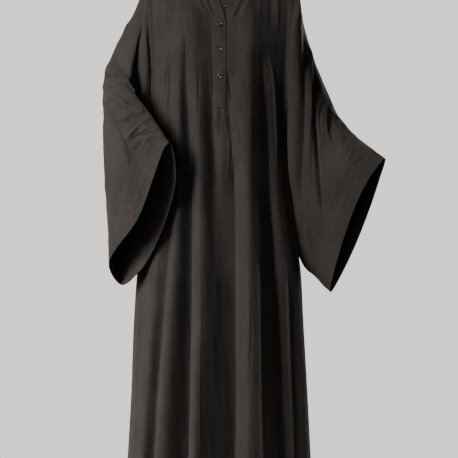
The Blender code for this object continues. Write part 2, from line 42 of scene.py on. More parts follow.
def newMesh(name, points, edges=(), faces=()):
    mesh = bpy.data.meshes.new(name)
    mesh.from_pydata(points, edges, faces)
    return mesh


def formMesh(name, form):
    mesh = bpy.data.meshes.new(name)
    form.to_mesh(mesh)
    form.free()
    return mesh


def addObject(name, data):
    made = bpy.data.objects.new(name, data)
    bpy.context.scene.collection.objects.link(made)
    return made


# The camera stands level with the middle of the skirt, a little to the wearer's left.
view = {"place": (0.025, -4.0, -0.753), "angle": 17.9, "clip": 50.0,
        "square": 2.75, "sheetLeft": 220.0, "sheetTop": -45.0}   # the front sheet, in mm squares
camera = bpy.data.cameras.new("camera")
camera.angle = math.radians(view["angle"])
camera.clip_end = view["clip"]
cameraObject = addObject("camera", camera)
cameraObject.location = view["place"]
cameraObject.rotation_euler = (math.pi / 2, 0.0, 0.0)
bpy.context.scene.camera = cameraObject
print("camera ready")


# ---- curves, in millimetres
def unit(vectors):
    return vectors / np.linalg.norm(vectors, axis=-1, keepdims=True)


def walked(points, axis=0):                    # how far along each line of points lies
    steps = np.linalg.norm(np.diff(points, axis=axis), axis=-1)
    return np.concatenate([np.zeros_like(np.take(steps, [0], axis)), np.cumsum(steps, axis)], axis)


def hermite(keys, values, at):
    keys = np.asarray(keys, float)
    values = np.asarray(values, float).reshape(len(keys), -1)
    steps = np.diff(keys)[:, None]
    slopes = np.diff(values, axis=0) / steps
    tangents = np.empty_like(values)
    tangents[0], tangents[-1] = slopes[0], slopes[-1]
    weight = steps[1:] / (steps[1:] + steps[:-1])
    tangents[1:-1] = slopes[:-1] * weight + slopes[1:] * (1 - weight)
    at = np.clip(np.atleast_1d(np.asarray(at, float)), keys[0], keys[-1])
    i = np.clip(np.searchsorted(keys, at, side="right") - 1, 0, len(keys) - 2)
    span = (keys[i + 1] - keys[i])[:, None]
    t = (at - keys[i])[:, None] / span
    return ((2 * t**3 - 3 * t**2 + 1) * values[i] + (t**3 - 2 * t**2 + t) * span * tangents[i]
            + (3 * t**2 - 2 * t**3) * values[i + 1] + (t**3 - t**2) * span * tangents[i + 1])


def ease(t):
    t = np.clip(t, 0.0, 1.0)
    return t * t * (3 - 2 * t)


def alongPath(points, fractions):
    lengths = walked(points)
    at = np.asarray(fractions) * lengths[-1]
    return np.stack([np.interp(at, lengths, points[:, i]) for i in range(points.shape[1])], -1)


def bell(distance, wide):
    return np.exp(-(distance / wide) ** 2)


loopLook = {"tension": 0.75, "samples": 181}   # how evenly the controls are passed, and how finely


def closedLoop(controls, sideCount, crowding):
    padded = np.concatenate([controls[-2:], controls, controls[:3]])
    steps = np.linalg.norm(np.diff(padded, axis=0), axis=1) ** loopLook["tension"]
    keys = np.concatenate(([0.0], np.cumsum(steps)))
    outer, inner = (hermite(keys, padded, np.linspace(keys[i], keys[i + 3], loopLook["samples"]))
                    for i in (2, 5))
    even = np.linspace(0.0, 1.0, sideCount + 1)
    fractions = even - crowding * np.sin(2 * math.pi * even) / (2 * math.pi)
    return np.concatenate([alongPath(outer, fractions)[:-1], alongPath(inner, fractions)[:-1]])


# ---- folds, laid on a front sheet of squares as the camera sees it
def seenPlace(x, y, z):                        # where the eye of the camera sees each point
    camX, camY, camZ = (v / mm for v in view["place"])
    near = -camY / (y - camY)
    return camX + (x - camX) * near, camZ + (z - camZ) * near


def sheetPlace(x, z):
    return x / view["square"] + view["sheetLeft"], -z / view["square"] + view["sheetTop"]


foldLook = {"fineness": 4, "reach": 3.2}        # steps to a point of the line, widths that a fold reaches


# Each row is a fold: its half width on the left and on the right of its line in squares, its height in mm,
# the share of the line over which it fades in and out, then the points of the line.
def foldField(points, rows, seen=True):
    x, y, z = points.T
    gx, gy = sheetPlace(*seenPlace(x, y, z)) if seen else sheetPlace(x, z)
    total = np.zeros(len(points))
    for wideLeft, wideRight, height, fadeIn, fadeOut, *line in rows:
        line = np.array(line, float)
        keys = walked(line)
        path = hermite(keys, line, np.linspace(0.0, keys[-1], foldLook["fineness"] * len(line) + 1))
        reach = foldLook["reach"] * max(wideLeft, wideRight)
        low, high = path.min(0) - reach, path.max(0) + reach
        near = np.where((gx > low[0]) & (gx < high[0]) & (gy > low[1]) & (gy < high[1]))[0]
        if not len(near):
            continue
        p = np.stack([gx[near], gy[near]], -1)
        a, step = path[:-1], np.diff(path, axis=0)
        length = np.linalg.norm(step, axis=1)
        toPoint = p[:, None, :] - a[None]
        t = np.clip((toPoint * step).sum(-1) / length**2, 0.0, 1.0)
        away = toPoint - t[..., None] * step
        distance = np.linalg.norm(away, axis=-1)
        best = distance.argmin(1)
        pick = np.arange(len(near))
        side = step[best, 1] * toPoint[pick, best, 0] - step[best, 0] * toPoint[pick, best, 1]
        width = np.where(side > 0, wideRight, wideLeft)
        t = (best + t[pick, best]) / len(step)
        rise = ease(t / fadeIn) if fadeIn > 0 else 1.0
        fall = ease((1 - t) / fadeOut) if fadeOut > 0 else 1.0
        total[near] += height * bell(distance[pick, best], width) * rise * fall
    return total


# Small slow unevenness, the same every time: a few crossed waves with fixed phases.
waveLook = {"count": 7, "shortest": 0.6, "longest": 1.7, "turn": 6.28, "share": 3.5}


def unevenness(points, size, seed):
    chance = np.random.default_rng(seed)
    total = np.zeros(len(points))
    for _ in range(waveLook["count"]):
        direction = unit(chance.normal(size=3))
        wave = size * chance.uniform(waveLook["shortest"], waveLook["longest"])
        total += np.sin(points @ direction * 2 * math.pi / wave + chance.uniform(0, waveLook["turn"]))
    return total / waveLook["share"]


# ---- body
body = {
    "neckHalf": 78.0, "neckRound": 0.68, "frontNeckZ": -90.0, "backNeckZ": -14.0,
    "shoulderHalf": 198.0, "shoulderDrop": 63.0, "shoulderRound": 80.0,
    "armpitHalf": 184.0, "armpitZ": -480.0, "armpitY": 10.0, "hemZ": -1450.0,
    "slitShutZ": -207.0, "slitSwing": 26.0, "slitSpread": 38.0, "placketWidth": 36.0,
    "thickness": 1.1, "rows": (78, 7, 17, 102, 14), "rowLean": 1.15, "hemReach": 34,
    "slitShare": 0.82, "placketShare": 0.864,  # parts of the way from the neck to the armpit
    # z, right half, left half, front depth, back depth, squareness
    "sizes": ((20, 198, 198, 40, 48, 1.00), (-60, 198, 198, 62, 78, 1.00),
              (-150, 195, 195, 92, 98, 1.00), (-270, 191, 191, 114, 104, 0.95),
              (-400, 187, 187, 108, 98, 0.80), (-480, 184, 184, 104, 96, 0.66),
              (-570, 190, 192, 104, 98, 0.58), (-672, 198, 202, 106, 102, 0.55),
              (-775, 210, 216, 111, 108, 0.54), (-860, 222, 227, 116, 114, 0.53),
              (-1000, 230, 237, 124, 124, 0.52), (-1212, 242, 245, 136, 138, 0.52),
              (-1450, 254, 259, 150, 152, 0.52)),
    # pipes: valley high up, valley at the hem, start, height, rise, foot
    "backPipes": ((-206, -262, -520, 14, 0.45, 1.00), (-170, -222, -380, 30, 0.28, 0.95),
                  (-112, -140, -300, 38, 0.22, 0.84), (-42, -52, -260, 42, 0.20, 0.80),
                  (30, 36, -250, 40, 0.24, 0.86), (104, 128, -300, 38, 0.22, 0.88),
                  (166, 212, -400, 26, 0.30, 1.00), (215, 262, -430, 0, 0.50, 1.00)),
    "pipeHighZ": -300.0, "pipeShape": (0.85, 1.6, 1.3),
    # armhole loop from the side: y, z
    "armhole": ((0, -63), (70, -150), (50, -400), (10, -480), (-30, -400), (-52, -150)),
    # the easy edges: z, y
    "easyFront": ((-63, -10), (-150, -48), (-280, -50), (-400, -26), (-480, -6), (-560, 6), (-660, 10),
                  (-760, 10)),
    "easyBack": ((-63, 10), (-150, 64), (-280, 66), (-400, 44), (-480, 24), (-560, 13), (-660, 10),
                 (-760, 10)),
    "squareness": 2.5, "armholePull": 5, "settling": 10, "armholeSide": 64,
    "foldStrength": 1.6, "seamHold": (6.0, 1.5), "slopeStep": 1.5,
    # unevenness: stretch along z, size, height, seed of the front (the back takes the next)
    "waves": ((0.35, 34.0, 0.55, 5), (0.5, 13.0, 0.22, 7)),
}
# the turned hem in mm: its own height, the groove of its stitches and a slight ripple below them
hem = {"reach": 60, "turned": 24, "step": 0.5, "stepWide": 2, "stitches": 26.0, "groove": 0.7, "wide": 1.6,
       "ripple": 0.35, "rippleAt": 22, "rippleWide": 9, "rippleLong": 11, "rippleDrift": 17}
sizeRows = np.array(body["sizes"], float)[::-1]


def bodySize(column, z):
    return hermite(sizeRows[:, 0], sizeRows[:, column], z)[:, 0]


def armholeX(z):
    t = (-body["shoulderDrop"] - z) / (-body["shoulderDrop"] - body["armpitZ"])
    return body["shoulderHalf"] + (body["armpitHalf"] - body["shoulderHalf"]) * t


def armholeControls(side):
    return np.array([(side * armholeX(z), y, z) for y, z in body["armhole"]], float)


armholeSide = body["armholeSide"]
armholeLoop = closedLoop(armholeControls(1), armholeSide, 0.0)
armholeFront = np.concatenate([armholeLoop[armholeSide:], armholeLoop[:1]])
armholeBack = armholeLoop[:armholeSide + 1][::-1]


def armholeEdge(front, z):
    half = armholeFront if front else armholeBack
    return np.interp(z, half[:, 2], half[:, 1])


def easyEdge(front, z):                        # the same edge without its sharp turn at the armpit
    rows = body["easyFront"] if front else body["easyBack"]
    return hermite([-row[0] for row in rows], [row[1] for row in rows], -z)[:, 0]


def shoulderZ(x):
    return -body["shoulderDrop"] * (np.abs(x) - body["neckHalf"]) / (body["shoulderHalf"] - body["neckHalf"])


def neckZ(x, front):
    depth = body["frontNeckZ"] if front else body["backNeckZ"]
    t = np.clip(np.abs(x) / body["neckHalf"], 0.0, 1.0)
    return np.where(np.abs(x) < body["neckHalf"], depth * (1 - t**2) ** body["neckRound"], shoulderZ(x))


def pipeHeight(x, z, pipes):
    growth, bend, steep = body["pipeShape"]
    drop = (body["pipeHighZ"] - z) / (body["pipeHighZ"] - body["hemZ"])
    valleys = [row[0] + (row[1] - row[0]) * drop for row in pipes]
    total = np.zeros_like(x)
    for row, here, following in zip(pipes, valleys, valleys[1:]):
        startZ, height, rise, foot = row[2:]
        t = (x - here) / (following - here)
        grown = np.clip((startZ - z) / (startZ - body["hemZ"]), 0.0, 1.0) ** growth
        fall = np.clip((t - rise) / (foot - rise), 0.0, 1.0)
        shape = ease(t / rise) * (1 - fall**bend) ** steep
        total += np.where((t > 0) & (t < 1), height * grown * shape, 0.0)
    return total


def bodyY(x, z, front):
    half = np.where(x < 0, bodySize(2, z), bodySize(1, z))
    t = np.clip(np.abs(x) / half, 0.0, 1.0)
    across = (1 - t**body["squareness"]) ** bodySize(5, z)
    rounding = np.clip((shoulderZ(x) - z) / body["shoulderRound"], 0.0, 1.0)
    shoulder = np.sqrt(1 - (1 - rounding) ** 2)
    depth = bodySize(3 if front else 4, z) * shoulder
    if not front:
        depth = depth + pipeHeight(x, z, body["backPipes"]) * np.sqrt(across)
    edge = np.where(z > body["armpitZ"], armholeEdge(front, z), body["armpitY"])
    edge = np.where(z > -body["shoulderDrop"], 0.0, edge)
    easy = np.where(z > -body["shoulderDrop"], 0.0, easyEdge(front, z))
    sideways = easy * (1 - across) + (edge - easy) * (1 - across) ** body["armholePull"]
    return sideways + (-1.0 if front else 1.0) * depth * across


def slitCentre(z):
    return -body["slitSwing"] * ease((z - body["slitShutZ"]) / (body["frontNeckZ"] - body["slitShutZ"]))


def slitEdges(z):
    opened = ease((z - body["slitShutZ"]) / (body["frontNeckZ"] - body["slitShutZ"]))
    half = body["placketWidth"] / 2
    return slitCentre(z) + half - 1.0, half + 1.2 + body["slitSpread"] * opened


def halfWidth(z, side):
    low = bodySize(2 if side < 0 else 1, z)
    return np.where(z > -body["shoulderDrop"], body["shoulderHalf"],
                    np.where(z > body["armpitZ"], armholeX(z), low))


bodyLines = {
    "right edge": lambda z: -halfWidth(z, -1),
    "right neck": lambda z: -halfWidth(z, -1) * body["neckHalf"] / body["shoulderHalf"],
    "placket": lambda z: slitCentre(z) - body["placketWidth"] / 2,
    "slit first": lambda z: slitEdges(z)[0],
    "slit second": lambda z: slitEdges(z)[1],
    "left neck": lambda z: halfWidth(z, 1) * body["neckHalf"] / body["shoulderHalf"],
    "left edge": lambda z: halfWidth(z, 1),
}


def bodyRows():
    slit, end = body["slitShare"], body["placketShare"]
    chest, strap, armpit, skirt, foot = body["rows"]
    hemTop = body["hemZ"] + body["hemReach"]
    high = np.concatenate([slit * np.linspace(0, 1, chest) ** body["rowLean"],
                           np.linspace(slit, end, strap)[1:], np.linspace(end, 1, armpit)[1:]])
    low = np.concatenate([np.linspace(body["armpitZ"], hemTop, skirt)[1:],
                          np.linspace(hemTop, body["hemZ"], foot)[1:]])
    return high, low


levels, lowRows = bodyRows()
slitRow = int(np.argmin(abs(levels - body["slitShare"])))


def rowZ(x, front):
    top = neckZ(x[:len(levels)], front)
    share = levels[:, None]
    high = top * (1 - share) + body["armpitZ"] * share
    low = np.repeat(lowRows[:, None], x.shape[1], 1)
    return np.concatenate([high, low])


def blockGrid(first, last, part, front):
    z = np.full((len(levels) + len(lowRows), len(part)), body["slitShutZ"])
    for _ in range(body["settling"]):          # the lines lean, so x and z settle together
        start = bodyLines[first](z.ravel()).reshape(z.shape)
        end = bodyLines[last](z.ravel()).reshape(z.shape)
        x = start + (end - start) * part[None]
        z = rowZ(x, front)
    return x, z


# How the front hangs: lines from the wearer's right to left, each with rows of
# down the sheet, across the sheet, height in mm. A crest stands close beside the valley before it.
frontDrape = {
        "right side": ((-40, 144, 0), (120, 148, 0), (200, 136, 0), (300, 128, 0), (490, 112, 0)),
        "valley by the sleeve": ((-40, 151, -2), (30, 153.4, -4), (60, 154.8, -4), (90, 154, -5),
        (120, 159, -7), (200, 151, -6), (300, 144.6, -4), (400, 136, -1), (490, 132, 0)),
        "crest a": ((-40, 160, 2), (60, 166, 3), (90, 165, 3), (120, 167, 2), (200, 160, 5),
        (300, 151.6, 11), (400, 143.6, 14), (490, 139.4, 16)),
        "valley a": ((-40, 170, 1), (60, 171.4, 2), (90, 171, 0), (120, 171, -2), (200, 172.6, -6),
        (250, 169.4, -8), (300, 165.6, -10), (350, 161.4, -13), (400, 157.8, -15), (450, 154.8, -16),
        (490, 152.6, -17)),
        "crest b": ((-40, 180, 0), (60, 179.4, 5), (90, 177.4, 7), (120, 177, 8), (200, 177.4, 10),
        (250, 173.6, 14), (300, 169.4, 18), (350, 165.6, 21), (400, 162, 24), (490, 156.6, 28)),
        "valley b": ((-40, 187, 0), (60, 185.6, -1), (90, 187, -8), (120, 188.8, -14), (160, 190.4, -16),
        (200, 191.4, -18), (250, 191.8, -19), (300, 191.6, -23), (350, 190.6, -26), (400, 189.6, -28),
        (490, 187.8, -32)),
        "crest c": ((-40, 194, 0), (60, 193, 3), (90, 195.8, 6), (120, 197, 8), (160, 199.6, 8),
        (200, 199.6, 13), (250, 199.6, 17), (300, 199.2, 20), (350, 197.4, 23), (400, 195.6, 26),
        (490, 193.6, 29)),
        "valley c": ((-40, 212, -1), (60, 212, -11), (90, 212.6, -14), (120, 213, -15), (160, 215, -16),
        (200, 216, -13), (250, 216, -6), (300, 213, 3), (400, 210, 5), (490, 208, 6)),
        "middle": ((-40, 218, -1), (60, 219, -9), (120, 220, -11), (160, 223, -12), (200, 223, -16),
        (250, 224, -16), (300, 224, -17), (400, 223, -17), (490, 222, -18)),
        "valley d": ((-40, 231, -1), (60, 235, -8), (90, 230.4, -11), (120, 230, -14), (160, 233, -17),
        (200, 235, -23), (250, 235.8, -24), (300, 235.8, -30), (350, 236, -32), (400, 236.2, -34),
        (490, 234.6, -38)),
        "crest d": ((-40, 248, 0), (60, 250, 1), (90, 249.8, 5), (120, 249.6, 7), (160, 248.6, 7),
        (200, 249.4, 8), (250, 249.6, 13), (300, 249.8, 18), (400, 249.4, 22), (490, 248, 25)),
        "step d": ((-40, 254, -1), (60, 256, -3), (90, 255.4, 1), (120, 255.6, 1), (160, 255.6, 0),
        (200, 256, 1), (250, 257.4, 7), (300, 258.6, 12), (400, 260.4, 17), (490, 261.8, 19)),
        "valley e": ((-40, 261, -2), (60, 262, -8), (90, 265, -12), (120, 267.6, -16), (160, 269, -18),
        (200, 271, -21), (250, 274, -25), (300, 276.4, -29), (400, 279.4, -33), (490, 282, -36)),
        "crest e": ((-40, 270, -2), (60, 272, -7), (90, 274.6, -8), (120, 277, -9), (160, 279, -9),
        (200, 281.4, -10), (250, 284, -12), (300, 287, -13), (400, 291, -14), (490, 294, -14)),
        "left side": ((-40, 284, 0), (60, 283, -8), (120, 285, -12), (200, 291, -10), (300, 302, -6),
        (490, 322, 0)),
}


drape = {"lift": 15.0, "apart": 0.02, "arrive": 0.5, "leave": 2.0, "strength": 1.25,
         "lowHeight": 14.0, "lowFrom": 150, "lowRun": 300,     # the skirt swings forward lower down
         "sideRoom": 14.0, "neckRoom": 60.0}


def drapeHeight(x, y, z):
    gx, gy = sheetPlace(*seenPlace(x, y - drape["lift"], z))
    lines = [np.array(rows, float) for rows in frontDrape.values()]
    across, height = np.array([hermite(rows[:, 0], rows[:, 1:], gy) for rows in lines]).transpose(2, 0, 1)
    across = np.maximum.accumulate(across, 0) + np.arange(len(lines))[:, None] * drape["apart"]
    at = np.clip((across <= gx[None]).sum(0) - 1, 0, len(across) - 2)
    pick = np.arange(len(gx))
    gap = np.diff(across, axis=0)
    rate = np.diff(height, axis=0) / gap
    before, after = rate[:-1], rate[1:]
    same = before * after > 0
    through = np.where(same, 2 * before * after / np.where(same, before + after, 1.0), 0.0)
    valley = (before < 0) & (after > 0)
    # cloth turns sharply at the foot of a fold
    arrive = np.vstack([through + valley * drape["arrive"] * before, rate[-1:]])
    leave = np.vstack([rate[:1], through + valley * drape["leave"] * after])
    wide = gap[at, pick]
    t = np.clip((gx - across[at, pick]) / wide, 0, 1)
    curve = height[at, pick] * (2 * t**3 - 3 * t**2 + 1) + height[at + 1, pick] * (3 * t**2 - 2 * t**3)
    curve = curve + wide * (leave[at, pick] * (t**3 - 2 * t**2 + t) + arrive[at, pick] * (t**3 - t**2))
    low = ease((gy - drape["lowFrom"]) / drape["lowRun"])
    return drape["strength"] * (curve + drape["lowHeight"] * low)


def surfaceY(x, z, front):
    y = bodyY(x, z, front)
    if not front:
        return y
    room = np.where(x < 0, halfWidth(z, -1), halfWidth(z, 1)) - np.abs(x)
    hold = ease(room / drape["sideRoom"])
    return y - drapeHeight(x, y, z) * hold * ease((neckZ(x, True) - z) / drape["neckRoom"])


# Small folds of the front, over the way it hangs, on the front sheet.
frontFolds = (
    # the crest beside the right armhole and the soft valley inside it
    (2.4, 2.6, -2.2, 0.1, 0.4, (161, -4), (161.5, 20), (162, 45), (160.5, 80)),
    # long thin ridges that start under the bust
    (1, 1.7, 2.2, 0.2, 0.4, (166.8, 48), (165.2, 66), (162.4, 96), (159.4, 125), (157, 160)),
    (1.2, 1.4, -1.6, 0.25, 0.5, (171.5, 56), (170.4, 80), (168.4, 110), (167, 140)),
    (1, 1.2, -1, 0.3, 0.4, (198.5, 60), (198.8, 90), (197.6, 130)),
    (0.9, 1, 1.2, 0.3, 0.3, (208.6, 62), (211.2, 80), (211.8, 98)),
    # the fullness over the bust
    (16, 15, 7, 0, 0, (186, 20), (184, 34), (180, 45)),
    (14, 16, 7, 0, 0, (250, 20), (251, 34), (253, 45)),
    # upper chest and neck
    (1.8, 2.6, 1.6, 0.1, 0.5, (166, -6), (166, 20), (165.2, 42)),
    (3, 3, -1.6, 0.1, 0.5, (174, -6), (175.6, 16), (177, 34)),
    (1.6, 2.2, 1.5, 0.1, 0.25, (203, -8), (207.6, 6), (213.4, 18)),
    (1.4, 1.5, -0.9, 0.1, 0.25, (207.5, -8), (211, 5), (215, 15)),
    (1.7, 2.2, 1.1, 0.1, 0.3, (196, -8), (202.4, 6), (211, 20)),
    (1.5, 1.5, -0.7, 0.1, 0.3, (199.5, -8), (205, 5), (212, 17)),
    (2, 1.6, 1.6, 0.1, 0.3, (243, -8), (237.4, 6), (230.6, 20)),
    (1.4, 1.4, -1.4, 0.1, 0.3, (247.5, -8), (241.6, 7), (233, 21)),
    (1.8, 1.4, 1.2, 0.1, 0.4, (252, -8), (246, 8), (237, 25)),
    (1.6, 1.6, 1.2, 0.1, 0.5, (260, -8), (259.6, 8), (258, 22)),
    (2.4, 2.6, -1.8, 0.1, 0.5, (271, -8), (271, 12), (270, 34)),
    (1.6, 2.2, 1.8, 0.1, 0.5, (277, -8), (277.6, 12), (277.4, 36)),
    # under the end of the placket
    (1.6, 2, 1, 0.1, 0.5, (217.4, 106), (215.6, 117), (213, 134)),
    (1.7, 1.7, -0.9, 0.1, 0.5, (220.6, 106), (220.8, 118), (219.4, 138)),
    (1.8, 1.5, 1.2, 0.1, 0.5, (224.2, 106), (225.6, 119), (228, 134), (229, 156)),
    (1.4, 1.2, 1.4, 0.3, 0.4, (230.4, 128), (229.4, 150), (227.6, 178)),
    (2.6, 2.4, 1.6, 0.3, 0.4, (223, 150), (222, 170), (221.6, 196)),
    (1.8, 1.6, -1.6, 0.3, 0.4, (236, 150), (234.6, 175), (234, 200)),
    # left of the front, as the wearer has it
    (1.4, 1.4, -2, 0.3, 0.3, (228, 70), (230.4, 90), (232, 110)),
    (0.9, 2, 2.2, 0.2, 0.4, (267.6, 52), (272.6, 75), (275, 107), (276.2, 139), (277, 180)),
    # crisp edges of the long pipes
    (1.4, 0.8, 2, 0.15, 0, (259.6, 250), (260.4, 300), (261.2, 371), (263, 457), (263.6, 480)),
    (0.9, 1.4, 2, 0.2, 0, (139.6, 285), (138, 343), (134, 457)),
    (0.9, 1.8, 2.8, 0.2, 0, (286.4, 262), (287.9, 300), (290, 371), (292.9, 457), (293.4, 480)),
    (0.9, 1.4, 2.2, 0.2, 0, (296.4, 262), (297.2, 300), (300.4, 386), (302.9, 457), (303.4, 480)),
    (1.6, 1.6, -1.6, 0.2, 0, (292, 280), (294, 360), (297, 457)),
    (0.8, 1, 0.7, 0.3, 0.2, (200, 250), (201, 300), (199.6, 380), (199.4, 470)),
    (0.9, 1.1, 1, 0.3, 0.4, (248, 270), (249.4, 320), (246.4, 365), (245, 410)),
    (1, 0.9, -0.8, 0.3, 0.4, (252.4, 320), (250.6, 370), (247.4, 415)),
)
# Folds of the back, on the same sheet, seen through from the front.
backFolds = (
    (3.5, 3, 6, 0.1, 0.3, (150, 0), (156, 40), (160, 90), (159, 140)),
    (3, 3.5, 6, 0.1, 0.3, (290, 0), (284, 40), (280, 90), (281, 140)),
    (2.4, 3.4, 2.2, 0.1, 0.4, (196, -26), (186, 10), (180, 60), (178, 120)),
    (3.4, 2.4, 2.2, 0.1, 0.4, (244, -26), (256, 12), (262, 64), (264, 128)),
    (2.4, 2.4, -2.4, 0.1, 0.4, (213, -20), (208, 20), (205, 70), (204, 130)),
    (2.4, 2.4, -2.4, 0.1, 0.4, (230, -20), (236, 22), (239, 70), (240, 130)),
    (1.2, 1.6, 2.4, 0.2, 0.4, (168, 30), (170, 70), (168, 120), (164, 180)),
    (4, 4, 3, 0.2, 0.4, (221, 10), (222, 60), (220, 120), (221, 180)),
    (1.6, 1.2, 2.4, 0.2, 0.4, (272, 34), (270, 76), (273, 126), (277, 190)),
    (1, 2.6, 3.8, 0.2, 0, (158, 150), (153, 240), (146, 350), (140, 480)),
    (1, 2.6, 4.4, 0.2, 0, (180, 130), (177, 240), (173, 350), (169, 480)),
    (1, 2.8, 4.4, 0.2, 0, (205, 120), (204, 240), (202, 350), (201, 480)),
    (1, 2.8, 4.2, 0.2, 0, (232, 120), (233, 240), (234, 350), (235, 480)),
    (1, 2.6, 4.2, 0.2, 0, (258, 130), (262, 240), (265, 350), (268, 480)),
    (1, 2.2, 3.6, 0.2, 0, (279, 160), (285, 250), (292, 360), (299, 480)),
    (2.6, 2.2, -4, 0.2, 0, (168, 190), (165, 290), (159, 380), (154, 480)),
    (2.8, 2.4, -4, 0.2, 0, (194, 180), (192, 290), (189, 380), (186, 480)),
    (2.6, 2.6, -4, 0.2, 0, (250, 190), (252, 290), (254, 380), (256, 480)),
    (0.9, 1.2, 1.2, 0.3, 0.3, (213, 200), (213, 300), (211, 400)),
    (0.9, 1.2, 1.2, 0.3, 0.3, (240, 180), (243, 280), (245, 400)),
)


def foldedBody(x, z, front):
    y = surfaceY(x, z, front)
    step = body["slopeStep"]
    dx = (surfaceY(x + step, z, front) - surfaceY(x - step, z, front)) / (2 * step)
    dz = (surfaceY(x, z + step, front) - surfaceY(x, z - step, front)) / (2 * step)
    sign = -1.0 if front else 1.0
    normal = unit(np.stack([-dx * sign, np.full_like(dx, sign), -dz * sign], -1))
    points = np.stack([x, y, z], -1)
    room = halfWidth(z, -1) * (x < 0) + halfWidth(z, 1) * (x >= 0) - np.abs(x)
    above, below = body["seamHold"]            # nothing moves at a seam
    hold = ease(room / np.where(z > body["armpitZ"], above, below))
    top = np.where(np.abs(x) > body["neckHalf"] - above, ease((shoulderZ(x) - z) / (2 * above)), 1.0)
    height = foldField(points, frontFolds if front else backFolds, seen=front) * body["foldStrength"]
    for stretch, size, high, seed in body["waves"]:
        height += high * unevenness(points * (1, 1, stretch), size, seed if front else seed + 1)
    up = np.clip(z - body["hemZ"], 0, hem["reach"])
    groove = hem["groove"] * bell(up - hem["stitches"], hem["wide"])
    height += hem["step"] * (1 - ease((up - hem["turned"]) / hem["stepWide"])) - groove
    ripple = np.sin(x * 2 * math.pi / hem["rippleLong"] + 2 * np.sin(x / hem["rippleDrift"]))
    height += hem["ripple"] * bell(up - hem["rippleAt"], hem["rippleWide"]) * ripple
    return points + normal * (height * hold * top)[:, None]


def leaning(steps, lean):                      # columns that crowd towards one side
    part = np.linspace(0, 1, steps + 1)
    if lean < 0:
        return 1 - (1 - part) ** -lean
    return part ** lean if lean > 0 else part


def quadGrid(index, flipped):
    a, b, c, d = index[:-1, :-1], index[1:, :-1], index[1:, 1:], index[:-1, 1:]
    return np.stack([a, d, c, b] if flipped else [a, b, c, d], -1)


def panel(front, blocks):
    columns, join = [], None
    for first, last, steps, lean in blocks:
        x, z = blockGrid(first, last, leaning(steps, lean), front)
        if first == "slit second":
            join = sum(block.shape[2] for block in columns)
        elif columns:
            x, z = x[:, 1:], z[:, 1:]
        columns.append(np.stack([x, z]))
    x, z = np.concatenate(columns, 2)
    index = np.arange(x.size).reshape(x.shape)
    if join:                                   # below the slit both of its edges are one line
        middle = (x[slitRow + 1:, join] + x[slitRow + 1:, join - 1]) / 2
        x[slitRow + 1:, join] = x[slitRow + 1:, join - 1] = middle
        index[slitRow + 1:, join] = index[slitRow + 1:, join - 1]
    points = foldedBody(x.ravel(), z.ravel(), front)
    quads = quadGrid(index, not front)
    if join:
        quads = np.delete(quads, join - 1, axis=1)
    grid = points.reshape(*x.shape, 3)
    across = walked(grid, 1)
    across -= across[:, [x.shape[1] // 2]]
    uv = np.stack([across, walked(grid, 0) + abs(z[0])[None]], -1).reshape(-1, 2) * mm
    return {"points": points, "quads": quads.reshape(-1, 4), "uv": uv, "index": index, "z": z}


# ---- sheets of cloth with a turned edge
def surfaceNormals(points, quads):
    corner = points[quads]
    face = np.cross(corner[:, 2] - corner[:, 0], corner[:, 3] - corner[:, 1])
    normals = np.zeros_like(points)
    for i in range(4):
        np.add.at(normals, quads[:, i], face)
    return normals / np.maximum(np.linalg.norm(normals, axis=1, keepdims=True), 1e-12)


def withNormals(cloth):
    return np.concatenate([cloth["points"], surfaceNormals(cloth["points"], cloth["quads"])], 1)


edgeWear = {"edge": 1.0, "rim": 0.8}            # 0 inside the cloth


def clothPiece(name, cloth, thickness, material):
    points, quads, uv = cloth["points"], cloth["quads"], cloth["uv"]
    used, inverse = np.unique(quads, return_inverse=True)
    points, uv, quads = points[used], uv[used], inverse.reshape(quads.shape)
    normals = surfaceNormals(points, quads)
    count = len(points)
    edges = np.concatenate([quads[:, [i, (i + 1) % 4]] for i in range(4)])
    key = edges[:, 0] * count + edges[:, 1]
    back = edges[:, 1] * count + edges[:, 0]
    rim = edges[~np.isin(key, back) & (edges[:, 0] != edges[:, 1])]
    along = points[rim[:, 1]] - points[rim[:, 0]]
    out = np.zeros_like(points)
    for i in range(2):
        np.add.at(out, rim[:, i], np.cross(along, normals[rim[:, i]]))
    rimPoints = np.unique(rim)
    out = out[rimPoints] / np.maximum(np.linalg.norm(out[rimPoints], axis=1, keepdims=True), 1e-9)
    middle = points[rimPoints] - normals[rimPoints] * thickness / 2 + out * thickness / 2
    place = np.zeros(count, int)
    place[rimPoints] = 2 * count + np.arange(len(rimPoints))
    allPoints = np.concatenate([points, points - normals * thickness, middle])
    a, b = rim[:, 0], rim[:, 1]
    faces = np.concatenate([quads, quads[:, ::-1] + count,
                            np.stack([b, a, place[a], place[b]], -1),
                            np.stack([place[b], place[a], a + count, b + count], -1)])
    three = [[v for i, v in enumerate(f) if v != f[i - 1]] for f in faces.tolist()]
    mesh = newMesh(name, (allPoints * mm).tolist(), faces=three)
    mesh.update()
    layer = mesh.uv_layers.new(name="cloth")
    corners = np.empty(len(mesh.loops), int)
    mesh.loops.foreach_get("vertex_index", corners)
    allUv = np.concatenate([uv, uv, uv[rimPoints]])
    layer.data.foreach_set("uv", allUv[corners].ravel().astype(np.float32))
    wear = np.zeros(len(allPoints), np.float32)
    wear[2 * count:] = edgeWear["edge"]
    wear[rimPoints] = edgeWear["rim"]
    mesh.attributes.new("edgeWear", "FLOAT", "POINT").data.foreach_set("value", wear)
    mesh.shade_smooth()
    mesh.materials.append(material)
    return addObject(name, mesh)


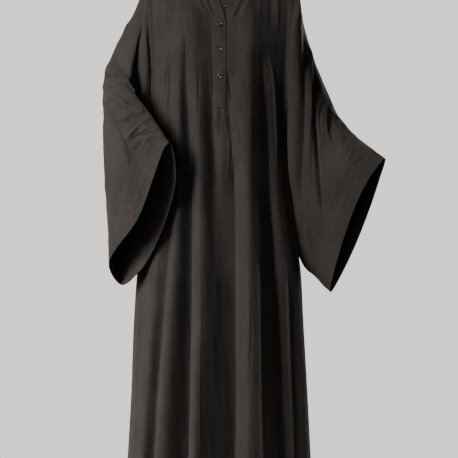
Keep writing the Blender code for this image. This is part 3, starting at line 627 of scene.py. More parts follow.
# ---- sleeves: rings from the armhole to the opening
# along, then six points each: top, outer high, outer low, seam, inner low, inner high
sleeveRight = {
    "side": -1, "sideCount": 104, "hem": 30.0, "seed": 21,
    "rings": (
        (0.13, (-234, 2, -154), (-228, 56, -215), (-212, 50, -480), (-200, 14, -566), (-206, -22, -480),
         (-228, -56, -218)),
        (0.27, (-272, -3, -224), (-270, 44, -285), (-240, 50, -580), (-222, 18, -664), (-224, -12, -560),
         (-241, -66, -300)),
        (0.38, (-298, -14, -286), (-308, 26, -338), (-268, 44, -670), (-246, 20, -756), (-234, -20, -640),
         (-250, -76, -338)),
        (0.46, (-307, -46, -320), (-319, -8, -362), (-284, 28, -715), (-264, 14, -812), (-236, -30, -672),
         (-249, -88, -350)),
        (0.51, (-294, -68, -340), (-312, -40, -374), (-289, 8, -735), (-274, 2, -842), (-235, -38, -692),
         (-242, -95, -364)),
        (0.56, (-276, -90, -354), (-301, -84, -398), (-294, -22, -770), (-278, -16, -866),
         (-232, -46, -712), (-229, -101, -386)),
        (0.76, (-203, -136, -426), (-242, -162, -476), (-296, -66, -820), (-272, -42, -892),
         (-216, -70, -790), (-180, -116, -474)),
        (1.00, (-131, -190, -529), (-212, -180, -722), (-296, -94, -858), (-264, -66, -904),
         (-216, -86, -866), (-116, -154, -612)),
    ),
    # folds of the side that faces the front
    "near": (
        # between the sleeve and the body: the deep valley and its two edges
        (2.4, 5, 5, 0.1, 0.2, (148.6, -30), (147.4, 0), (146.4, 30), (146.4, 60), (147, 92)),
        (6, 2.4, -16, 0.15, 0.1, (142, -14), (140.4, 10), (139.4, 40), (139.6, 66), (142, 96)),
        (2.2, 2.6, 4, 0.2, 0.4, (129.4, 16), (124.6, 36), (118, 52)),
        (2, 2.2, -2.6, 0.3, 0.4, (122, 26), (118, 42), (113, 56)),
        # the bend of the arm
        (5, 1.6, 6.5, 0.4, 0.3, (105, 75), (112, 74.2), (120, 76.6), (127, 80.6)),
        (1.5, 3.2, -12, 0.35, 0.4, (101, 79.6), (106, 78), (112, 77.6), (120, 80), (126, 84)),
        (2.8, 2.4, 4.4, 0.2, 0.4, (98, 88), (106, 85.6), (114, 85.6), (121, 88.4)),
        (1.6, 1.6, 3.4, 0.3, 0.3, (106, 97), (115, 96.6), (123, 101), (130, 109)),
        # long ridge of the forearm's outer side
        (1, 2.8, 9.5, 0.1, 0.4, (102.2, 97.4), (108.6, 112.5), (116.2, 127), (122.6, 143), (128, 160),
         (131, 176)),
        (2.6, 1.4, -8, 0.2, 0.4, (99.6, 104), (104.6, 124), (110, 146), (114.6, 170)),
        (1.2, 1.6, 2, 0.2, 0.4, (97.6, 120), (103, 146), (107, 172), (111, 200)),
        # wrinkles over the forearm
        (1.4, 1.8, 3.5, 0.25, 0.25, (134, 112), (124.4, 117.6), (114, 122.4)),
        (1.5, 2, 4.4, 0.15, 0.3, (151, 117), (139.6, 124.6), (130, 133), (121, 144)),
        (1.4, 1.6, 2.3, 0.25, 0.3, (138, 125.6), (131, 134), (126.6, 143)),
        (1.4, 1.6, 3, 0.15, 0.25, (160, 127.4), (150.4, 131), (145, 127.4), (139.6, 133.4)),
        (1.4, 1.9, 3.3, 0.15, 0.3, (165, 136.6), (156.4, 134), (148, 138.4), (140.6, 149)),
        (1.4, 1.9, 2.5, 0.25, 0.4, (150.4, 140.6), (147, 150), (143, 162)),
        (1.6, 1.9, -3.9, 0.25, 0.2, (124.4, 121.6), (138, 116.8), (149, 111.4)),
        (1.4, 1.8, -3.3, 0.25, 0.25, (128, 131.4), (136, 127.4), (144, 123)),
        (1.4, 1.8, -3.5, 0.2, 0.2, (130.4, 142), (139, 135.8), (148, 133.6), (161, 131)),
        (1.4, 1.8, -2.8, 0.3, 0.3, (134, 152), (140, 144.6), (147, 140.6)),
        (1.5, 1.9, 3, 0.25, 0.25, (129, 106.6), (137, 108.4), (146, 114)),
        (1.4, 1.6, -2.3, 0.3, 0.3, (118, 104), (126, 108), (134, 108.6)),
        # soft creases that run beside the near hem
        (1.4, 1.6, 1.8, 0.2, 0.3, (151, 160), (143, 180), (136, 204), (130, 232)),
        (1.3, 1.5, -1.6, 0.2, 0.3, (145.6, 160), (138, 182), (131, 208)),
        (1.4, 1.8, 1.6, 0.2, 0.3, (137, 156), (131, 178), (125, 206)),
        (1.8, 2, -1.8, 0.2, 0.3, (126, 168), (121, 194), (117, 222)),
        (1.6, 2, 1.8, 0.2, 0.3, (117, 176), (113.6, 204), (112.6, 236)),
        # the cap
        (2.6, 3, 2, 0.3, 0.3, (142, -18), (132, 0), (122, 22)),
        (1.6, 1.8, -2, 0.3, 0.3, (146, -14), (140, 2), (134, 18)),
    ),
    "far": (
        (3, 3.4, 4, 0.2, 0.3, (140, -10), (130, 16), (120, 44), (110, 66)),
        (2.2, 3, 4.6, 0.2, 0.3, (144, 20), (138, 50), (128, 80), (116, 100)),
        (2.4, 2.4, -4.4, 0.2, 0.3, (139, 6), (131, 34), (122, 60)),
        (1.6, 2.4, 4.4, 0.2, 0.3, (142, 70), (134, 96), (122, 116), (108, 126)),
        (1.6, 2, -4, 0.2, 0.3, (140, 90), (132, 112), (120, 130), (108, 138)),
        (1.4, 2.2, 3.6, 0.2, 0.3, (140, 108), (130, 130), (119, 146), (110, 152)),
        (1.4, 1.8, -3, 0.25, 0.3, (139, 126), (130, 148), (121, 164)),
        (1.4, 2.4, 3.2, 0.2, 0.3, (136, 146), (128, 168), (121, 186), (117, 210)),
        (1.4, 2.2, 3, 0.2, 0.3, (104, 80), (106, 110), (108, 140), (110, 176)),
        (1.4, 1.6, 2.6, 0.3, 0.3, (126, 60), (118, 76), (108, 88)),
    ),
}
sleeveLeft = {
    "side": 1, "sideCount": 100, "hem": 30.0, "seed": 31,
    "rings": (
        (0.14, (221, 2, -156), (218, 52, -220), (206, 52, -490), (190, 14, -568), (197, -28, -480),
         (214, -58, -225)),
        (0.29, (249, 4, -256), (250, 50, -315), (222, 54, -595), (199, 16, -670), (205, -24, -580),
         (238, -54, -325)),
        (0.45, (286, 8, -352), (288, 52, -405), (240, 56, -695), (208, 18, -784), (220, -18, -670),
         (268, -48, -412)),
        (0.58, (324, 4, -438), (330, 44, -488), (268, 54, -755), (231, 20, -852), (245, -16, -735),
         (294, -54, -480)),
        (0.70, (357, -34, -486), (362, -2, -528), (298, 42, -785), (264, 24, -884), (276, -22, -765),
         (320, -78, -515)),
        (0.84, (394, -96, -527), (397, -66, -568), (326, 16, -808), (286, 24, -908), (302, -34, -795),
         (354, -122, -560)),
        (1.00, (436, -168, -568), (424, -136, -622), (356, -26, -828), (306, 16, -927), (322, -50, -828),
         (398, -164, -615)),
    ),
    "near": (
        # beside the body, and the long black valley
        (2.6, 2.6, -12, 0.1, 0.3, (286, -20), (286.4, 10), (286.6, 50), (287, 90), (287.6, 124)),
        (3, 9, 15, 0.1, 0.2, (292, -20), (292.6, 10), (293, 50), (293.4, 90), (293.6, 130), (294.4, 170),
         (296, 210)),
        (5, 2.4, -6, 0.2, 0.2, (303.4, -10), (304, 30), (304.6, 70), (304.6, 110), (303, 150), (301.6, 190),
         (302, 220)),
        (3, 1.6, 3.6, 0.15, 0.25, (309, 40), (310, 56), (311, 75), (311.2, 96), (311, 118), (310, 150),
         (310.6, 190)),
        (1.9, 2.6, -12, 0.15, 0.2, (314.4, 66), (315, 90), (315.4, 112), (316, 136), (317, 157),
         (318.4, 179), (322, 207), (326, 226)),
        (1.3, 2, 4.4, 0.1, 0.35, (318.6, 138), (319.4, 147), (323, 168.6), (327, 188.6), (331.6, 204),
         (334, 216)),
        # over the upper arm and on down the outer side
        (1, 1.6, 2.2, 0.15, 0.2, (308, 44), (311.6, 58), (317.4, 78), (322.4, 94), (327.6, 108)),
        (1.8, 2, -1.2, 0.2, 0.3, (312, 40), (316, 54), (321, 70), (327, 84)),
        (1.2, 1.6, 3.4, 0.25, 0.25, (327.4, 106), (332.4, 113), (339, 119.6)),
        (1.6, 1.4, 3, 0.2, 0.3, (326.2, 98), (326, 118), (327.6, 134), (334.4, 152)),
        (1.6, 2, -3.4, 0.25, 0.3, (330, 118), (331.2, 132), (336, 144)),
        (1.3, 1.5, -3, 0.25, 0.3, (322, 102), (320.4, 120), (321.6, 138)),
        (1.3, 1.5, 3, 0.25, 0.3, (317, 96), (316.8, 118), (318.2, 136)),
        (1.4, 1.8, 3, 0.3, 0.3, (335, 124), (340, 134), (345, 142)),
        (1.3, 1.6, -3, 0.25, 0.3, (341, 124), (347, 131), (355, 137)),
        (1.3, 1.8, 2.6, 0.25, 0.3, (346, 118), (353, 126), (362, 133)),
        # wrinkles at the wrist
        (1, 1.3, -4, 0.2, 0.2, (347, 165), (351, 159), (355.4, 150.4), (359.6, 145)),
        (1.2, 1, 3.6, 0.2, 0.2, (345, 171), (351, 164), (356.4, 159.6), (362.4, 155.6)),
        (1.1, 1.4, 3.4, 0.15, 0.15, (357.6, 143.4), (363.6, 147), (370.4, 150), (377, 153.4)),
        (1, 1.2, -2.8, 0.25, 0.25, (359.4, 158.4), (364, 156), (370, 154)),
        (1.2, 1.4, 2.6, 0.25, 0.3, (341, 158), (346, 152), (350, 145)),
        (1.1, 1.4, -2.4, 0.25, 0.3, (336, 164), (342, 160), (347, 153)),
        (1, 1.2, -2, 0.2, 0.2, (366, 139), (371.6, 142), (377, 146)),
        # beside the near hem
        (1.4, 1.6, 2, 0.2, 0.3, (355.6, 168), (350, 188), (341.6, 210), (331, 236)),
        (1.4, 1.5, -2, 0.2, 0.3, (348.6, 168), (342, 190), (333.6, 214)),
        (1.4, 1.6, 1.8, 0.2, 0.3, (341, 170), (335.4, 192), (328, 216)),
        (1.2, 1.6, 2.2, 0.3, 0.2, (305.6, 222), (308.6, 240), (313.4, 258)),
        # the cap
        (2, 2.4, 1.2, 0.3, 0.3, (297, -16), (301, 2), (303, 26)),
    ),
    "far": (
        (3, 3, 4, 0.2, 0.3, (298, -14), (306, 14), (314, 44), (326, 74)),
        (3, 2.2, 5, 0.2, 0.3, (297, 24), (303, 56), (314, 92), (330, 118)),
        (2.4, 2.4, -4.4, 0.2, 0.3, (300, 4), (307, 36), (318, 70)),
        (2.6, 1.6, 4.8, 0.2, 0.3, (298, 74), (305, 106), (318, 134), (336, 150)),
        (1.8, 2, -4.4, 0.2, 0.3, (298, 96), (306, 126), (318, 152)),
        (2.4, 1.6, 4, 0.2, 0.3, (300, 124), (307, 152), (320, 178), (334, 192)),
        (1.8, 1.8, -3.4, 0.2, 0.3, (303, 150), (309, 178), (318, 202)),
        (2.2, 1.6, 3.2, 0.2, 0.3, (307, 176), (312, 204), (318, 232)),
        (1.6, 1.8, 3, 0.2, 0.3, (336, 100), (348, 120), (362, 134)),
        (1.6, 1.6, -3, 0.2, 0.3, (322, 84), (334, 106), (348, 124)),
        (1.6, 1.8, 2.6, 0.2, 0.3, (345, 140), (340, 166), (333, 190)),
    ),
}


# for both sleeves: rings near the armhole, along the arm and at the turned hem as (end, count); sizes in mm
sleeveLook = {
    "rings": ((0.05, 12), (0.9, 146), (1.0, 40)), "crowding": 0.42, "crowdStart": 0.25, "crowdRings": 12,
    "normalPasses": 12, "gapPasses": 14, "crowded": 3.0, "least": 0.12, "foldStrength": 1.2,
    "waves": ((0.6, 42.0, 0.8), (1, 15.0, 0.3)),            # stretch along z, size, height
    "seamHold": 16.0, "seamDip": 0.3, "seamWide": 2.2, "step": 0.45, "stepWide": 2, "groove": 0.6,
    "grooveWide": 1.5, "uvStart": 1000.0, "facing": 2.0, "normalShare": 0.5,
}


def sleevePlaces():
    start, runs = 0.0, []
    for end, count in sleeveLook["rings"]:
        runs.append(np.linspace(start, end, count)[bool(runs):])
        start = end
    return np.concatenate(runs)


def sleeveCloth(sleeve):
    side = sleeve["side"]
    keys = [0.0] + [row[0] for row in sleeve["rings"]]
    controls = [armholeControls(side)] + [np.array(row[1:], float) for row in sleeve["rings"]]
    table = np.array(controls).reshape(len(keys), -1)
    places = sleevePlaces()
    rings = hermite(keys, table, places).reshape(len(places), 6, 3)
    crowding = [sleeveLook["crowding"] * min(1, i / sleeveLook["crowdRings"] + sleeveLook["crowdStart"])
                for i in range(len(rings))]
    loops = np.array([closedLoop(ring, sleeve["sideCount"], crowd) for ring, crowd in zip(rings, crowding)])
    around = np.roll(loops, -1, axis=1) - np.roll(loops, 1, axis=1)
    down = np.gradient(loops, axis=0)
    down[0] = [side, 0.0, 0.0]
    normals = unit(np.cross(around, down) * -side)
    for _ in range(sleeveLook["normalPasses"]):
        beside = np.roll(normals, 1, axis=1) + np.roll(normals, -1, axis=1)
        beside[1:-1] += normals[2:] + normals[:-2]
        normals[1:] += sleeveLook["normalShare"] * beside[1:]
        normals = unit(normals)
    run = walked(loops, 0)
    left = run[-1] - run
    flat = loops.reshape(-1, 3)
    hold = ease(run / sleeveLook["seamHold"]).ravel()
    height = np.zeros(len(flat))
    gap = np.linalg.norm(np.gradient(loops, axis=0), axis=-1)
    for _ in range(sleeveLook["gapPasses"]):
        gap[1:-1] = (gap[:-2] + gap[1:-1] + gap[2:]) / 3
        gap = (np.roll(gap, 1, axis=1) + gap + np.roll(gap, -1, axis=1)) / 3
    # where rings crowd at the bend, folds stay shallow
    room = np.clip(gap.ravel() / sleeveLook["crowded"], sleeveLook["least"], 1.0)
    for folds, face in ((sleeve["near"], -1), (sleeve["far"], 1)):
        facing = np.clip(normals[..., 1].ravel() * face * sleeveLook["facing"], 0.0, 1.0)
        height += foldField(flat, folds, seen=face < 0) * facing * sleeveLook["foldStrength"]
    height += sum(high * unevenness(flat * (1, 1, stretch), size, sleeve["seed"] + i)
                  for i, (stretch, size, high) in enumerate(sleeveLook["waves"]))
    above = left.ravel() - sleeve["hem"]
    groove = sleeveLook["groove"] * bell(above, sleeveLook["grooveWide"])
    turned = ease((above + sleeveLook["stepWide"]) / sleeveLook["stepWide"])
    height += sleeveLook["step"] * (1 - turned) - groove
    height = height * hold * room - sleeveLook["seamDip"] * bell(run.ravel(), sleeveLook["seamWide"])
    points = flat + normals.reshape(-1, 3) * height[:, None]
    count, ring = loops.shape[:2]
    index = np.arange(count * ring).reshape(count, ring)
    quads = quadGrid(np.concatenate([index, index[:, :1]], 1), side > 0).reshape(-1, 4)
    grid = points.reshape(count, ring, 3)
    across = walked(grid, 1)
    uv = np.stack([across - across[:, [ring // 2]], run + sleeveLook["uvStart"]], -1).reshape(-1, 2) * mm
    return {"points": points, "quads": quads, "uv": uv, "index": index, "left": left}


# stretches of the panels, side by side: from line, to line, columns, lean of the columns towards a side
frontBlocks = (("right edge", "right neck", 58, 1.15), ("right neck", "placket", 48, 0),
               ("placket", "slit first", 15, 0), ("slit second", "left neck", 50, 1.1),
               ("left neck", "left edge", 56, -1.15))
backBlocks = (("right edge", "right neck", 44, 1.25), ("right neck", "left neck", 84, 0),
              ("left neck", "left edge", 44, -1.25))
front, back = panel(True, frontBlocks), panel(False, backBlocks)
rightSleeve, leftSleeve = sleeveCloth(sleeveRight), sleeveCloth(sleeveLeft)
print("cloth laid out")


# ---- strips: over-placket, under-placket and neckband
def gridCloth(points, firstRow=0.0):
    rows, columns = points.shape[:2]
    index = np.arange(rows * columns).reshape(rows, columns)
    quads = quadGrid(index, False).reshape(-1, 4)
    uv = np.stack([walked(points, 1), walked(points, 0) + firstRow], -1).reshape(-1, 2) * mm
    return {"points": points.reshape(-1, 3), "quads": quads, "uv": uv, "index": index}


strip = {"lift": 1.5, "stitchIn": 3.4, "boxAt": -395.0, "columns": 40, "rows": 190, "endZ": -427.0,
         "startZ": -200.0, "crowding": 0.5, "thickness": 1.3, "round": 0.5, "roundWide": 2.0,
         "groove": 0.45, "grooveWide": 0.9, "pucker": 0.25, "puckerLong": 4.1, "puckerSwing": 1.3,
         "puckerDrift": 23, "puckerAt": 2, "puckerWide": 3,
         "underColumns": 48, "underRows": 160, "underSide": 12, "underSink": 2.5, "uvStart": 90.0,
         "belowBox": 28.4, "boxColumn": 5}


def raisedStrip(x, z, rise):                   # a strip that follows the front, raised over it
    base = gridCloth(foldedBody(x.ravel(), z.ravel(), True).reshape(*x.shape, 3))
    points = base["points"] + surfaceNormals(base["points"], base["quads"]) * np.reshape(rise, (-1, 1))
    return gridCloth(points.reshape(*x.shape, 3), strip["uvStart"])


def placketCloth():
    share = np.linspace(0, 1, strip["columns"] + 1)
    share = share - strip["crowding"] * np.sin(2 * math.pi * share) / (2 * math.pi)
    rows = np.linspace(0, 1, strip["rows"] + 1)
    z = np.full((len(rows), len(share)), strip["startZ"])
    for _ in range(body["settling"]):
        start, end = bodyLines["placket"](z), bodyLines["slit first"](z)
        x = start + (end - start) * share[None]
        z = neckZ(x, True) * (1 - rows[:, None]) + strip["endZ"] * rows[:, None]
    edge = np.minimum(share[None], 1 - share[None]) * body["placketWidth"]
    end = z - strip["endZ"]
    rise = strip["lift"] + strip["round"] * ease(np.minimum(edge, end) / strip["roundWide"])
    within = strip["stitchIn"]
    for distance, there in ((edge - within, end > within), (end - within, 1),
                            (z - strip["boxAt"], edge > within)):
        rise = rise - strip["groove"] * bell(distance, strip["grooveWide"]) * there
    swing = strip["puckerSwing"] * np.sin(z / strip["puckerDrift"])
    pucker = strip["pucker"] * np.sin(z / strip["puckerLong"] + swing)
    rise = rise + pucker * bell(edge - strip["puckerAt"], strip["puckerWide"])
    return {**raisedStrip(x, z, rise), "z": z, "edge": np.broadcast_to(edge, x.shape)}


def underPlacketCloth():
    share = np.linspace(0, 1, strip["underColumns"] + 1)
    rows = np.linspace(0, 1, strip["underRows"] + 1)
    middle = neckZ(np.array([0.0]), True)[0] * (1 - rows) + strip["endZ"] * rows
    first, second = slitEdges(middle)
    x = (first - strip["underSide"])[:, None] * (1 - share) + (second + strip["underSide"])[:, None] * share
    z = neckZ(x, True) * (1 - rows[:, None]) + strip["endZ"] * rows[:, None]
    return raisedStrip(x, z, -strip["underSink"])


band = {"height": 14.0, "lean": 0.55, "rows": 20, "steps": 300, "thickness": 1.3, "smoothing": 30,
        "bulge": 0.9, "groove": 0.4, "grooveWide": 0.8, "stitches": 3.0, "seat": 0.4,
        "bulgeRun": 1.1, "rounded": 0.25}


def neckbandCloth():
    neckStart, slitColumn = frontBlocks[0][2], sum(block[2] for block in frontBlocks[:3]) + 1
    backStart, backEnd = backBlocks[0][2], backBlocks[0][2] + backBlocks[1][2]
    runs = ((front, range(slitColumn, slitColumn + frontBlocks[3][2] + 1)),
            (back, range(backEnd - 1, backStart, -1)), (front, range(neckStart, slitColumn)))
    both = np.concatenate([withNormals(cloth)[cloth["index"][0][list(columns)]] for cloth, columns in runs])
    path, normal = both[:, :3], both[:, 3:]
    even = np.linspace(0, 1, band["steps"] + 1)
    lengths = walked(path)
    normal = np.stack([np.interp(even * lengths[-1], lengths, normal[:, i]) for i in range(3)], -1)
    path = alongPath(path, even)
    for _ in range(band["smoothing"]):
        normal[1:-1] = (normal[:-2] + 2 * normal[1:-1] + normal[2:]) / 4
        normal = unit(normal)
    run = np.gradient(path, axis=0)
    rise = unit(np.cross(normal, run))
    upright = unit(rise + np.array([0.0, 0.0, band["lean"]]))
    outward = unit(np.cross(run, upright))
    grid = []
    for t in np.linspace(1, 0, band["rows"] + 1):
        reach = t * band["height"]
        bulge = band["bulge"] * math.sin(math.pi * min(t * band["bulgeRun"], 1.0))
        bulge -= band["groove"] * math.exp(-((reach - band["stitches"]) / band["grooveWide"]) ** 2)
        upward = upright * reach * ease(band["rounded"] + t)
        grid.append(path + rise * band["seat"] + upward + outward * bulge)
    return {**gridCloth(np.array(grid)), "outward": outward}


placket = placketCloth()
underPlacket = underPlacketCloth()
neckband = neckbandCloth()
print("strips laid out")


# ---- shader maths with plain operators
class Value:
    def __init__(self, tree, socket):
        self.tree, self.socket = tree, socket

    def maths(self, operation, *others):
        inputs = {"i" + str(i): item for i, item in enumerate((self, *others))}
        node = addNode(self.tree, "ShaderNodeMath", {"operation": operation}, **inputs)
        return Value(self.tree, node.outputs[0])

    def __add__(self, other):
        return self.maths("ADD", other)

    def __sub__(self, other):
        return self.maths("SUBTRACT", other)

    def __mul__(self, other):
        return self.maths("MULTIPLY", other)


# an input is given by its name, or as i and its number; a node given as a value means its first output
def addNode(tree, kind, settings=None, **inputs):
    node = tree.nodes.new(kind)
    for name, value in (settings or {}).items():
        setattr(node, name, value)
    for name, value in inputs.items():
        key = int(name[1:]) if name[0] == "i" and name[1:].isdigit() else name.replace("_", " ")
        if isinstance(value, Value):
            value = value.socket
        elif isinstance(value, bpy.types.Node):
            value = value.outputs[0]
        if isinstance(value, bpy.types.NodeSocket):
            tree.links.new(value, node.inputs[key])
        else:
            node.inputs[key].default_value = value
    return node


def newMaterial(name):
    material = bpy.data.materials.new(name)
    material.use_nodes = True
    material.node_tree.nodes.clear()
    return material, material.node_tree


def noise(tree, place, scale, detail, rough=0.55, distortion=0.0):
    made = addNode(tree, "ShaderNodeTexNoise", {"noise_dimensions": "3D"}, Vector=place, Scale=scale,
                   Detail=detail, Roughness=rough, Distortion=distortion)
    return Value(tree, made.outputs["Fac"])


def weighted(values, weights):
    total, *others = (value * weight for value, weight in zip(values, weights))
    for other in others:
        total = total + other
    return total


def finish(tree, **inputs):
    shader = addNode(tree, "ShaderNodeBsdfPrincipled", **inputs)
    addNode(tree, "ShaderNodeOutputMaterial", Surface=shader)


def twoColours(tree, share, look):
    mix = addNode(tree, "ShaderNodeMix", {"data_type": "RGBA"}, i0=share, i6=look["dark"], i7=look["light"])
    return mix.outputs[2]


clothLook = {
    "dark": (0.0097, 0.0081, 0.0072, 1.0), "light": (0.0252, 0.0217, 0.0194, 1.0), "specular": 0.12,
    "roughness": 0.88, "sheen": 0.05, "sheenRoughness": 0.45, "twill": 1400.0,
    "bump": 0.0005, "bumpStrength": 0.8,
    # noises: scale, detail, roughness, distortion
    "broad": (9.0, 3.0), "grain": (420.0, 3.0, 0.6), "crinkle": (130.0, 2.0, 0.5, 0.6),
    "slub": (330.0, 3.0, 0.6), "slubDrawn": (1.0, 0.09, 1.0), "twillLean": 1.6,
    # shares of broad, grain, crinkle and slub in the tone; of crinkle, grain, slub and twill in the height
    "tone": (0.2, 0.35, 0.15, 0.3), "toneMiddle": 0.39, "toneContrast": 4.6, "height": (0.7, 0.5, 0.5, 0.12),
    "roughGrain": 0.16, "roughWorn": 0.06,
}


def clothMaterial():
    material, tree = newMaterial("crepe")
    place = addNode(tree, "ShaderNodeUVMap", {"uv_map": "cloth"})
    parts = addNode(tree, "ShaderNodeSeparateXYZ", Vector=place)
    across, down = Value(tree, parts.outputs["X"]), Value(tree, parts.outputs["Y"])
    broad, grain, crinkle = (noise(tree, place, *clothLook[name]) for name in ("broad", "grain", "crinkle"))
    drawn = addNode(tree, "ShaderNodeVectorMath", {"operation": "MULTIPLY"}, i0=place,
                    i1=clothLook["slubDrawn"])
    slub = noise(tree, drawn, *clothLook["slub"])
    lines = ((across + down * clothLook["twillLean"]) * clothLook["twill"]).maths("SINE") * 0.5 + 0.5
    tone = weighted((broad, grain, crinkle, slub), clothLook["tone"])
    tone = (tone - clothLook["toneMiddle"]) * clothLook["toneContrast"]
    tone = tone.maths("MINIMUM", 1.0).maths("MAXIMUM", 0.0)
    colour = twoColours(tree, tone, clothLook)
    worn = Value(tree, addNode(tree, "ShaderNodeAttribute", {"attribute_name": "edgeWear"}).outputs["Fac"])
    roughness = (grain - 0.5) * clothLook["roughGrain"] + clothLook["roughness"]
    roughness = roughness - worn * clothLook["roughWorn"]
    height = weighted((crinkle, grain, slub, lines), clothLook["height"])
    bump = addNode(tree, "ShaderNodeBump", Strength=clothLook["bumpStrength"], Distance=clothLook["bump"],
                   Height=height)
    finish(tree, Base_Color=colour, Roughness=roughness, Normal=bump, Sheen_Weight=clothLook["sheen"],
           Sheen_Roughness=clothLook["sheenRoughness"], Specular_IOR_Level=clothLook["specular"])
    return material


threadPaint = {"dark": (0.010, 0.0092, 0.0086, 1.0), "light": (0.026, 0.024, 0.0225, 1.0),
               "noise": (900.0, 2.0), "roughness": 0.6, "sheen": 0.2}
buttonPaint = {"dark": (0.0030, 0.0028, 0.0027, 1.0), "light": (0.0075, 0.0070, 0.0066, 1.0),
               "cloudy": (160.0, 3.0), "fine": (1500.0, 2.0), "roughness": 0.19, "roughFine": 0.10,
               "specular": 0.45}


def threadMaterial():
    material, tree = newMaterial("thread")
    place = addNode(tree, "ShaderNodeTexCoord").outputs["Object"]
    colour = twoColours(tree, noise(tree, place, *threadPaint["noise"]), threadPaint)
    finish(tree, Base_Color=colour, Roughness=threadPaint["roughness"], Sheen_Weight=threadPaint["sheen"])
    return material


def buttonMaterial():
    material, tree = newMaterial("button")
    place = addNode(tree, "ShaderNodeTexCoord").outputs["Object"]
    cloudy, fine = (noise(tree, place, *buttonPaint[name]) for name in ("cloudy", "fine"))
    finish(tree, Base_Color=twoColours(tree, cloudy, buttonPaint), Specular_IOR_Level=buttonPaint["specular"],
           Roughness=fine * buttonPaint["roughFine"] + buttonPaint["roughness"])
    return material


crepe, thread, gloss = clothMaterial(), threadMaterial(), buttonMaterial()

# ---- cloth pieces: name, cloth, thickness, the node it stands for, its cut as (width, length) in metres, its
# flat area in square metres, how it is held, what it rests on and the stitches that go with it
sheets = (
    ("frontPanel", front, body["thickness"], "front", (0.965, 1.435), 0.93, "hung", "neckbandStrip",
     ["hemStitches"]),
    ("backPanel", back, body["thickness"], "back", (0.820, 1.455), 0.83, "hung", "neckbandStrip", []),
    ("sleeveRightCloth", rightSleeve, body["thickness"], "sleeve_right", (1.100, 0.540), 0.365, "hung",
     "frontPanel", ["cuffStitchesRight"]),
    ("sleeveLeftCloth", leftSleeve, body["thickness"], "sleeve_left", (0.960, 0.560), 0.335, "hung",
     "frontPanel", ["cuffStitchesLeft"]),
    ("placketStrip", placket, strip["thickness"], "placket", (0.044, 0.353), 0.0126, "laid", "frontPanel",
     ["placketStitches"]),
    ("underPlacketStrip", underPlacket, strip["thickness"], "under_placket", (0.122, 0.348), 0.0136, "laid",
     "frontPanel", []),
    ("neckbandStrip", neckband, band["thickness"], "neckband", (0.443, 0.0143), 0.006, "hung", "frontPanel",
     ["neckbandStitches"]),
)
pieces = {}
for name, cloth, thickness, *_ in sheets:
    pieces[name] = clothPiece(name, cloth, thickness, crepe)
    print(name, len(pieces[name].data.polygons), "faces")


# ---- buttons
buttonLook = {
    "thick": 2.6, "dish": 0.9, "hole": 0.85, "holeOut": 1.7, "holes": 4, "holeSides": 28, "steps": 72,
    "merge": 0.000005, "probe": 3,
    # node, x, z, spin in degrees, height over the cloth
    "places": (("button_1", 14.2, -153.0, 12.0, -2.4), ("button_2", 0.0, -204.0, -9.0, 2.05),
               ("button_3", 0.0, -271.0, 5.0, 2.05), ("button_4", 0.0, -343.0, -16.0, 2.05)),
    # the section as distance out and height: from the dish over the rim, measured from the top, and on from
    # there to the middle of the back, measured from the back
    "dished": ((0.0, -1.05), (2.4, -1.0), (3.5, -0.9), (3.9, -0.78), (4.3, -0.35), (4.65, -0.08), (4.95, 0.0),
               (5.4, -0.05), (5.85, -0.3), (6.15, -0.7)),
    "rounded": ((6.3, 1.45), (6.3, 1.1), (6.15, 0.7), (5.7, 0.28), (5.1, 0.04), (4.6, 0.0), (0.0, 0.0)),
}
# the thread in the holes: two pairs cross, each with its height, and a thread lies aside of its pair's middle
threadLook = {"heights": (0.42, 0.72), "aside": 0.24, "steps": 15, "past": 0.35, "bendsAt": 0.84,
              "sinks": 10.0, "radius": 0.25, "sides": 8, "under": 0.1}


def finishedMesh(thing):                       # the thing's mesh as its modifiers leave it
    bpy.context.view_layer.update()
    made = bpy.data.meshes.new_from_object(thing.evaluated_get(bpy.context.evaluated_depsgraph_get()))
    bpy.data.objects.remove(thing)
    return made


def buttonMesh():
    thick, hole = buttonLook["thick"], buttonLook["hole"] * mm
    profile = [(x, thick + z) for x, z in buttonLook["dished"]] + list(buttonLook["rounded"])
    edges = [(i, i + 1) for i in range(len(profile) - 1)]
    mesh = newMesh("button profile", [(x * mm, 0.0, z * mm) for x, z in profile], edges)
    blank = addObject("button blank", mesh)
    turn = blank.modifiers.new("turn", "SCREW")
    turn.steps = turn.render_steps = buttonLook["steps"]
    turn.use_merge_vertices = True
    turn.merge_threshold = buttonLook["merge"]
    drills = bmesh.new()
    for k in range(buttonLook["holes"]):
        angle = math.pi / 4 + k * math.pi / 2
        made = bmesh.ops.create_cone(drills, cap_ends=True, segments=buttonLook["holeSides"], radius1=hole,
                                     radius2=hole, depth=3 * thick * mm)
        shift = Vector((math.cos(angle), math.sin(angle), 0.0)) * buttonLook["holeOut"] * mm
        bmesh.ops.translate(drills, verts=made["verts"], vec=shift)
    drill = addObject("button holes", formMesh("button holes", drills))
    cut = blank.modifiers.new("holes", "BOOLEAN")
    cut.object = drill
    cut.operation = "DIFFERENCE"
    finished = finishedMesh(blank)
    bpy.data.objects.remove(drill)
    return finished


def tube(path, radius, sides):
    path = np.asarray(path, float)
    run = unit(np.gradient(path, axis=0))
    first = unit(np.cross(run, [0.0, 0.0, 1.0]) + 1e-6)
    second = np.cross(run, first)
    turn = np.linspace(0, 2 * math.pi, sides, endpoint=False)[None, :, None]
    ring = path[:, None] + radius * (np.cos(turn) * first[:, None] + np.sin(turn) * second[:, None])
    last = (len(path) - 1) * sides
    faces = [[i + k, i + sides + k, i + sides + (k + 1) % sides, i + (k + 1) % sides]
             for i in range(0, last, sides) for k in range(sides)]
    return ring.reshape(-1, 3), faces + [list(range(sides)), [last + k for k in reversed(range(sides))]]


